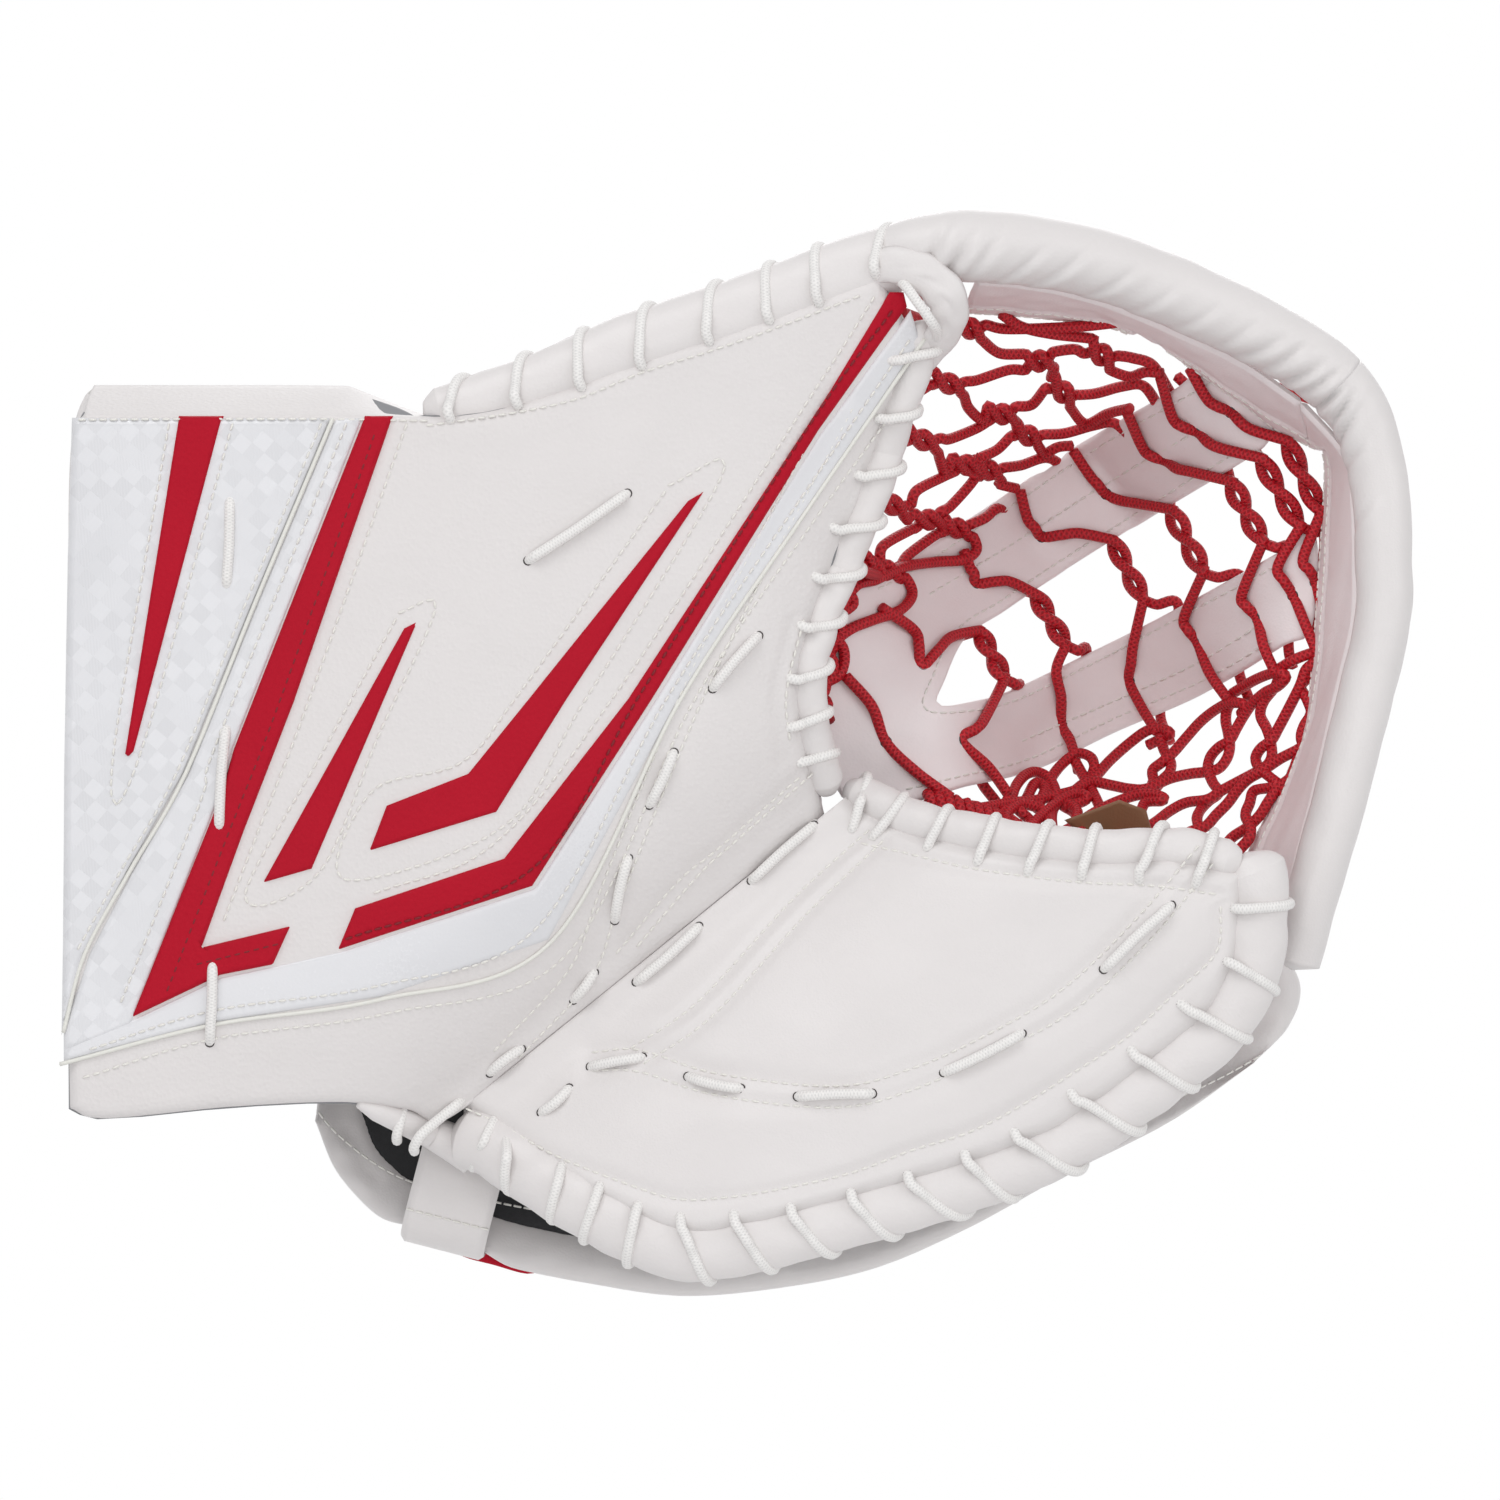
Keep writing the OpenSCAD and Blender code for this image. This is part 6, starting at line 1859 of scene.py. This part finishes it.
class GLOVE_OT_thumb_stall(bpy.types.Operator):
    """Make the thumb stall and the padded guard over it"""

    bl_idname = "glove.thumb_stall"
    bl_label = "Thumb stall"

    def execute(self, context):
        piece("thumb_stall_lining", shell(Form(), stall_grid(0, 0, 2.2), stall_grid(0, 0, 0.2)), "lining",
              "thumb_side", stands_for=("thumb_stall",))
        inner, outer = stall_grid(0.3, 20, 2.7), stall_grid(0.3, 20, 9.7)
        s = np.linspace(0, 1, 40)[:, None]
        q = np.linspace(0, 1, 60)[None]
        e = np.minimum(np.minimum(s, 1 - s) * 70, np.minimum(q, 1 - q) * 80)
        middle = (inner + outer) / 2
        rib = 0.6 * np.cos(q * 6 * math.pi) * np.ones_like(s)
        half = (outer - inner) / 2
        share = np.sqrt(np.clip(1 - (1 - np.clip(e / 4, 0, 1)) ** 2, 0.02, 1))[..., None]
        top = middle + half * share * (1 + 0.12 * rib[..., None])
        piece("thumb_guard_leather", shell(Form(), top, middle - half * share), "smooth",
              "thumb_side", stands_for=("thumb_guard",))
        return {"FINISHED"}


def strap_seat(z):
    return float(thumb_base_y(np.array([58.0, z])) + THUMB_BOARD_T + 2.5 / 2 + 0.5)


class GLOVE_OT_wrist_straps(bpy.types.Operator):
    """Make the fixed wrist band and the strap that laps over it"""

    bl_idname = "glove.wrist_straps"
    bl_label = "Wrist straps"

    def execute(self, context):
        heel, thumb, overlap, rear = -84, 90, 10, 38
        band = [(heel + 4, strap_seat(heel)), (heel - 2, strap_seat(heel) + 10), (heel - 3, 6),
                (heel + 10, rear - 14), (heel + 38, rear), (overlap, rear + 1)]
        strap = [(thumb - 4, strap_seat(thumb)), (thumb + 3, strap_seat(thumb) + 10), (thumb + 3, 6),
                 (thumb - 10, rear - 12), (thumb - 38, rear + 2), (overlap, rear + 4.5),
                 (overlap - 40, rear + 4.5)]
        for name, line, finish, slot, body, node in (
                ("wrist_band_webbing", band, "webbing", "webbing", "thumb_side", "wrist_band"),
                ("wrist_strap_leather", strap, "smooth", "white_leather", "wrist_strap", "wrist_strap")):
            run = even(line, 1.6)
            x = np.linspace(20, 58, 30)
            grid = np.array([[(a, y, z) for a in x] for z, y in run])
            piece(name, sewn_sheet(Form(), grid, 2.4), finish, body, stands_for=(node,))
        return {"FINISHED"}


class GLOVE_OT_hand_space(bpy.types.Operator):
    """Make the cloth walls of the hand space: the gusset, the finger dividers and the palm fold"""

    bl_idname = "glove.hand_space"
    bl_label = "Hand space"

    def execute(self, context):
        s = np.linspace(0.3, 0.97, 110)
        p0 = roll_centre(FINGER_LOW, s, 6, 1)
        p1 = roll_centre(FINGER_LOW, s, 2, 1)
        front = np.stack([p0[:, 0], finger_base_y(p0) + FINGER_BOARD_T + 0.5, p0[:, 1]], -1)
        rear_y = PAD_FRONT - PAD_FALL * 0.6 - PAD_CURL - 4.0
        rear = np.stack([p1[:, 0], np.full(len(s), rear_y), p1[:, 1]], -1)
        grid = between(front, rear, 20) + [0, 0, 1.0]
        grid[..., 2] += 0.5 * np.sin(s * 160)[None] * np.sin(math.pi * np.linspace(0, 1, 20)[:, None])
        piece("hand_gusset_cloth", sewn_sheet(Form(), grid, 1.9), "lining", "finger_side",
              stands_for=("hand_gusset",))
        walls = Form()
        for a, b in (((205, -47), (284, -43)), ((200, -68), (280, -60)), ((196, -90), (272, -78))):
            p = np.linspace(a, b, 40).astype(float)
            f = np.stack([p[:, 0], finger_base_y(p) + FINGER_BOARD_T + 0.5, p[:, 1]], -1)
            r = np.stack([p[:, 0], np.full(40, 6.0), p[:, 1]], -1)
            sewn_sheet(walls, between(f, r, 26) + [0, 0, 1.0], 1.9)
        piece("finger_divider_cloth", walls, "lining", "finger_side",
              stands_for=("finger_dividers",))
        x = np.linspace(112, 214, 60)
        gaps = np.linspace(-BREAK_GAP + 0.2, BREAK_GAP - 1, 8)
        y = BREAK_Y + 4.5
        grid = np.array([[(a, y + 0.8 * math.cos(g), along_break(a, g)[1]) for a in x] for g in gaps])
        piece("palm_fold_leather", sewn_sheet(Form(), grid, 2.6), "smooth", "thumb_side",
              stands_for=("palm_fold",))
        return {"FINISHED"}


CAMERA_AT = (0.1946, -1.554, 0.0056)
LENS = 127.7


class GLOVE_OT_stage(bpy.types.Operator):
    """Set the floor, the soft lamps, the pale surroundings and the camera"""

    bl_idname = "glove.stage"
    bl_label = "Stage"

    def execute(self, context):
        scene = context.scene
        drop = scene.glove_sizes.floor_drop
        floor = Form()
        radii = np.array([0.001, 150, 300, 420, 424])
        a = turns(64)
        rows = [np.stack([194 + q * np.cos(a), -20 + q * np.sin(a), np.full(64, -drop / MM - (q > 421) * 3)],
                         -1) for q in radii]
        floor.grid(np.stack(rows), round_u=True)
        obj = bpy.data.objects.new("floor", floor.mesh("floor"))
        scene.collection.objects.link(obj)
        s = Shade("floor_paint")
        s.set(Base_Color=s.mix(s.noise(40, 2) * 0.1, (0.86, 0.86, 0.86), (0.78, 0.78, 0.78)), Roughness=0.7)
        s.bumped((s.noise(600, 2), 0.1 * MM, 0.2))
        glow = s.node("ShaderNodeEmission", None, {0: (1, 1, 1)})
        share = s.node("ShaderNodeLightPath", output="Is Camera Ray") * 0.85
        paint = Wire(s, s.surface.outputs[0])
        s.put(s.tree.nodes["Material Output"].inputs[0],
              s.node("ShaderNodeMixShader", None, {0: share, 1: paint, 2: glow}))
        obj.data.materials.append(s.material)

        sky = Sky("studio")
        scene.world = sky.world
        direct, through, glossy = [sky.node("ShaderNodeLightPath", output=f"Is {ray} Ray")
                                   for ray in ("Camera", "Transmission", "Glossy")]
        seen = sky.node("ShaderNodeMath", {"operation": "ADD", "use_clamp": True},
                        {0: direct + through, 1: glossy})
        soft = sky.node("ShaderNodeBackground", None, {0: (0.97, 0.98, 1.0), 1: 0.68})
        white = sky.node("ShaderNodeBackground", None, {0: (1, 1, 1), 1: 1.0})
        chosen = sky.node("ShaderNodeMixShader", None, {0: seen, 1: soft, 2: white})
        sky.put(sky.tree.nodes.new("ShaderNodeOutputWorld").inputs[0], chosen)

        for name, at, aim, size, power in (
                ("key_lamp", (-0.35, -1.1, 1.15), (0.18, -0.02, 0.02), 0.9, 7.0),
                ("fill_lamp", (1.25, -0.9, 0.45), (0.2, 0, 0), 0.9, 3.0),
                ("low_lamp", (0.22, -1.2, -0.12), (0.22, 0, -0.04), 0.8, 2.3),
                ("back_lamp", (0.3, 1.1, 0.8), (0.2, 0, 0), 0.9, 5.0)):
            lamp = bpy.data.lights.new(name, "AREA")
            lamp.size, lamp.energy = size, power
            made = bpy.data.objects.new(name, lamp)
            made.location = at
            made.rotation_euler = (Vector(aim) - Vector(at)).to_track_quat("-Z", "Y").to_euler()
            scene.collection.objects.link(made)

        camera = bpy.data.cameras.new("camera")
        camera.lens, camera.sensor_width = LENS, 36
        camera.clip_start, camera.clip_end = 0.05, 20
        made = bpy.data.objects.new("camera", camera)
        made.location = CAMERA_AT
        made.rotation_euler = (math.radians(90), 0, 0)
        scene.collection.objects.link(made)
        scene.camera = made
        scene.view_settings.view_transform = "Standard"
        return {"FINISHED"}


class GLOVE_PT_sidebar(bpy.types.Panel):
    """The glove's sizes, colours and steps"""

    bl_idname = "GLOVE_PT_sidebar"
    bl_label = "Goalie catch glove"
    bl_space_type = "VIEW_3D"
    bl_region_type = "UI"
    bl_category = "Glove"

    def draw(self, context):
        for group in (context.scene.glove_sizes, context.scene.glove_colours):
            for name in group.__annotations__:
                self.layout.prop(group, name)
        for step in STEPS:
            self.layout.operator(step.bl_idname)


STEPS = (GLOVE_OT_finishes, GLOVE_OT_stage, GLOVE_OT_boards, GLOVE_OT_panels, GLOVE_OT_stitching,
         GLOVE_OT_rolled_edges, GLOVE_OT_face_laces, GLOVE_OT_rim, GLOVE_OT_skirts, GLOVE_OT_straps,
         GLOVE_OT_net, GLOVE_OT_back_pad, GLOVE_OT_hand_straps, GLOVE_OT_thumb_stall, GLOVE_OT_wrist_straps,
         GLOVE_OT_hand_space)
CLASSES = (GloveSizes, GloveColours, *STEPS, GLOVE_PT_sidebar)


def register():
    for made in CLASSES:
        bpy.utils.register_class(made)
    bpy.types.Scene.glove_sizes = bpy.props.PointerProperty(type=GloveSizes)
    bpy.types.Scene.glove_colours = bpy.props.PointerProperty(type=GloveColours)


def unregister():
    del bpy.types.Scene.glove_colours
    del bpy.types.Scene.glove_sizes
    for made in reversed(CLASSES):
        bpy.utils.unregister_class(made)


def main():
    register()
    for step in STEPS:
        group, name = step.bl_idname.split(".")
        getattr(getattr(bpy.ops, group), name)()


if __name__ == "__main__":
    main()
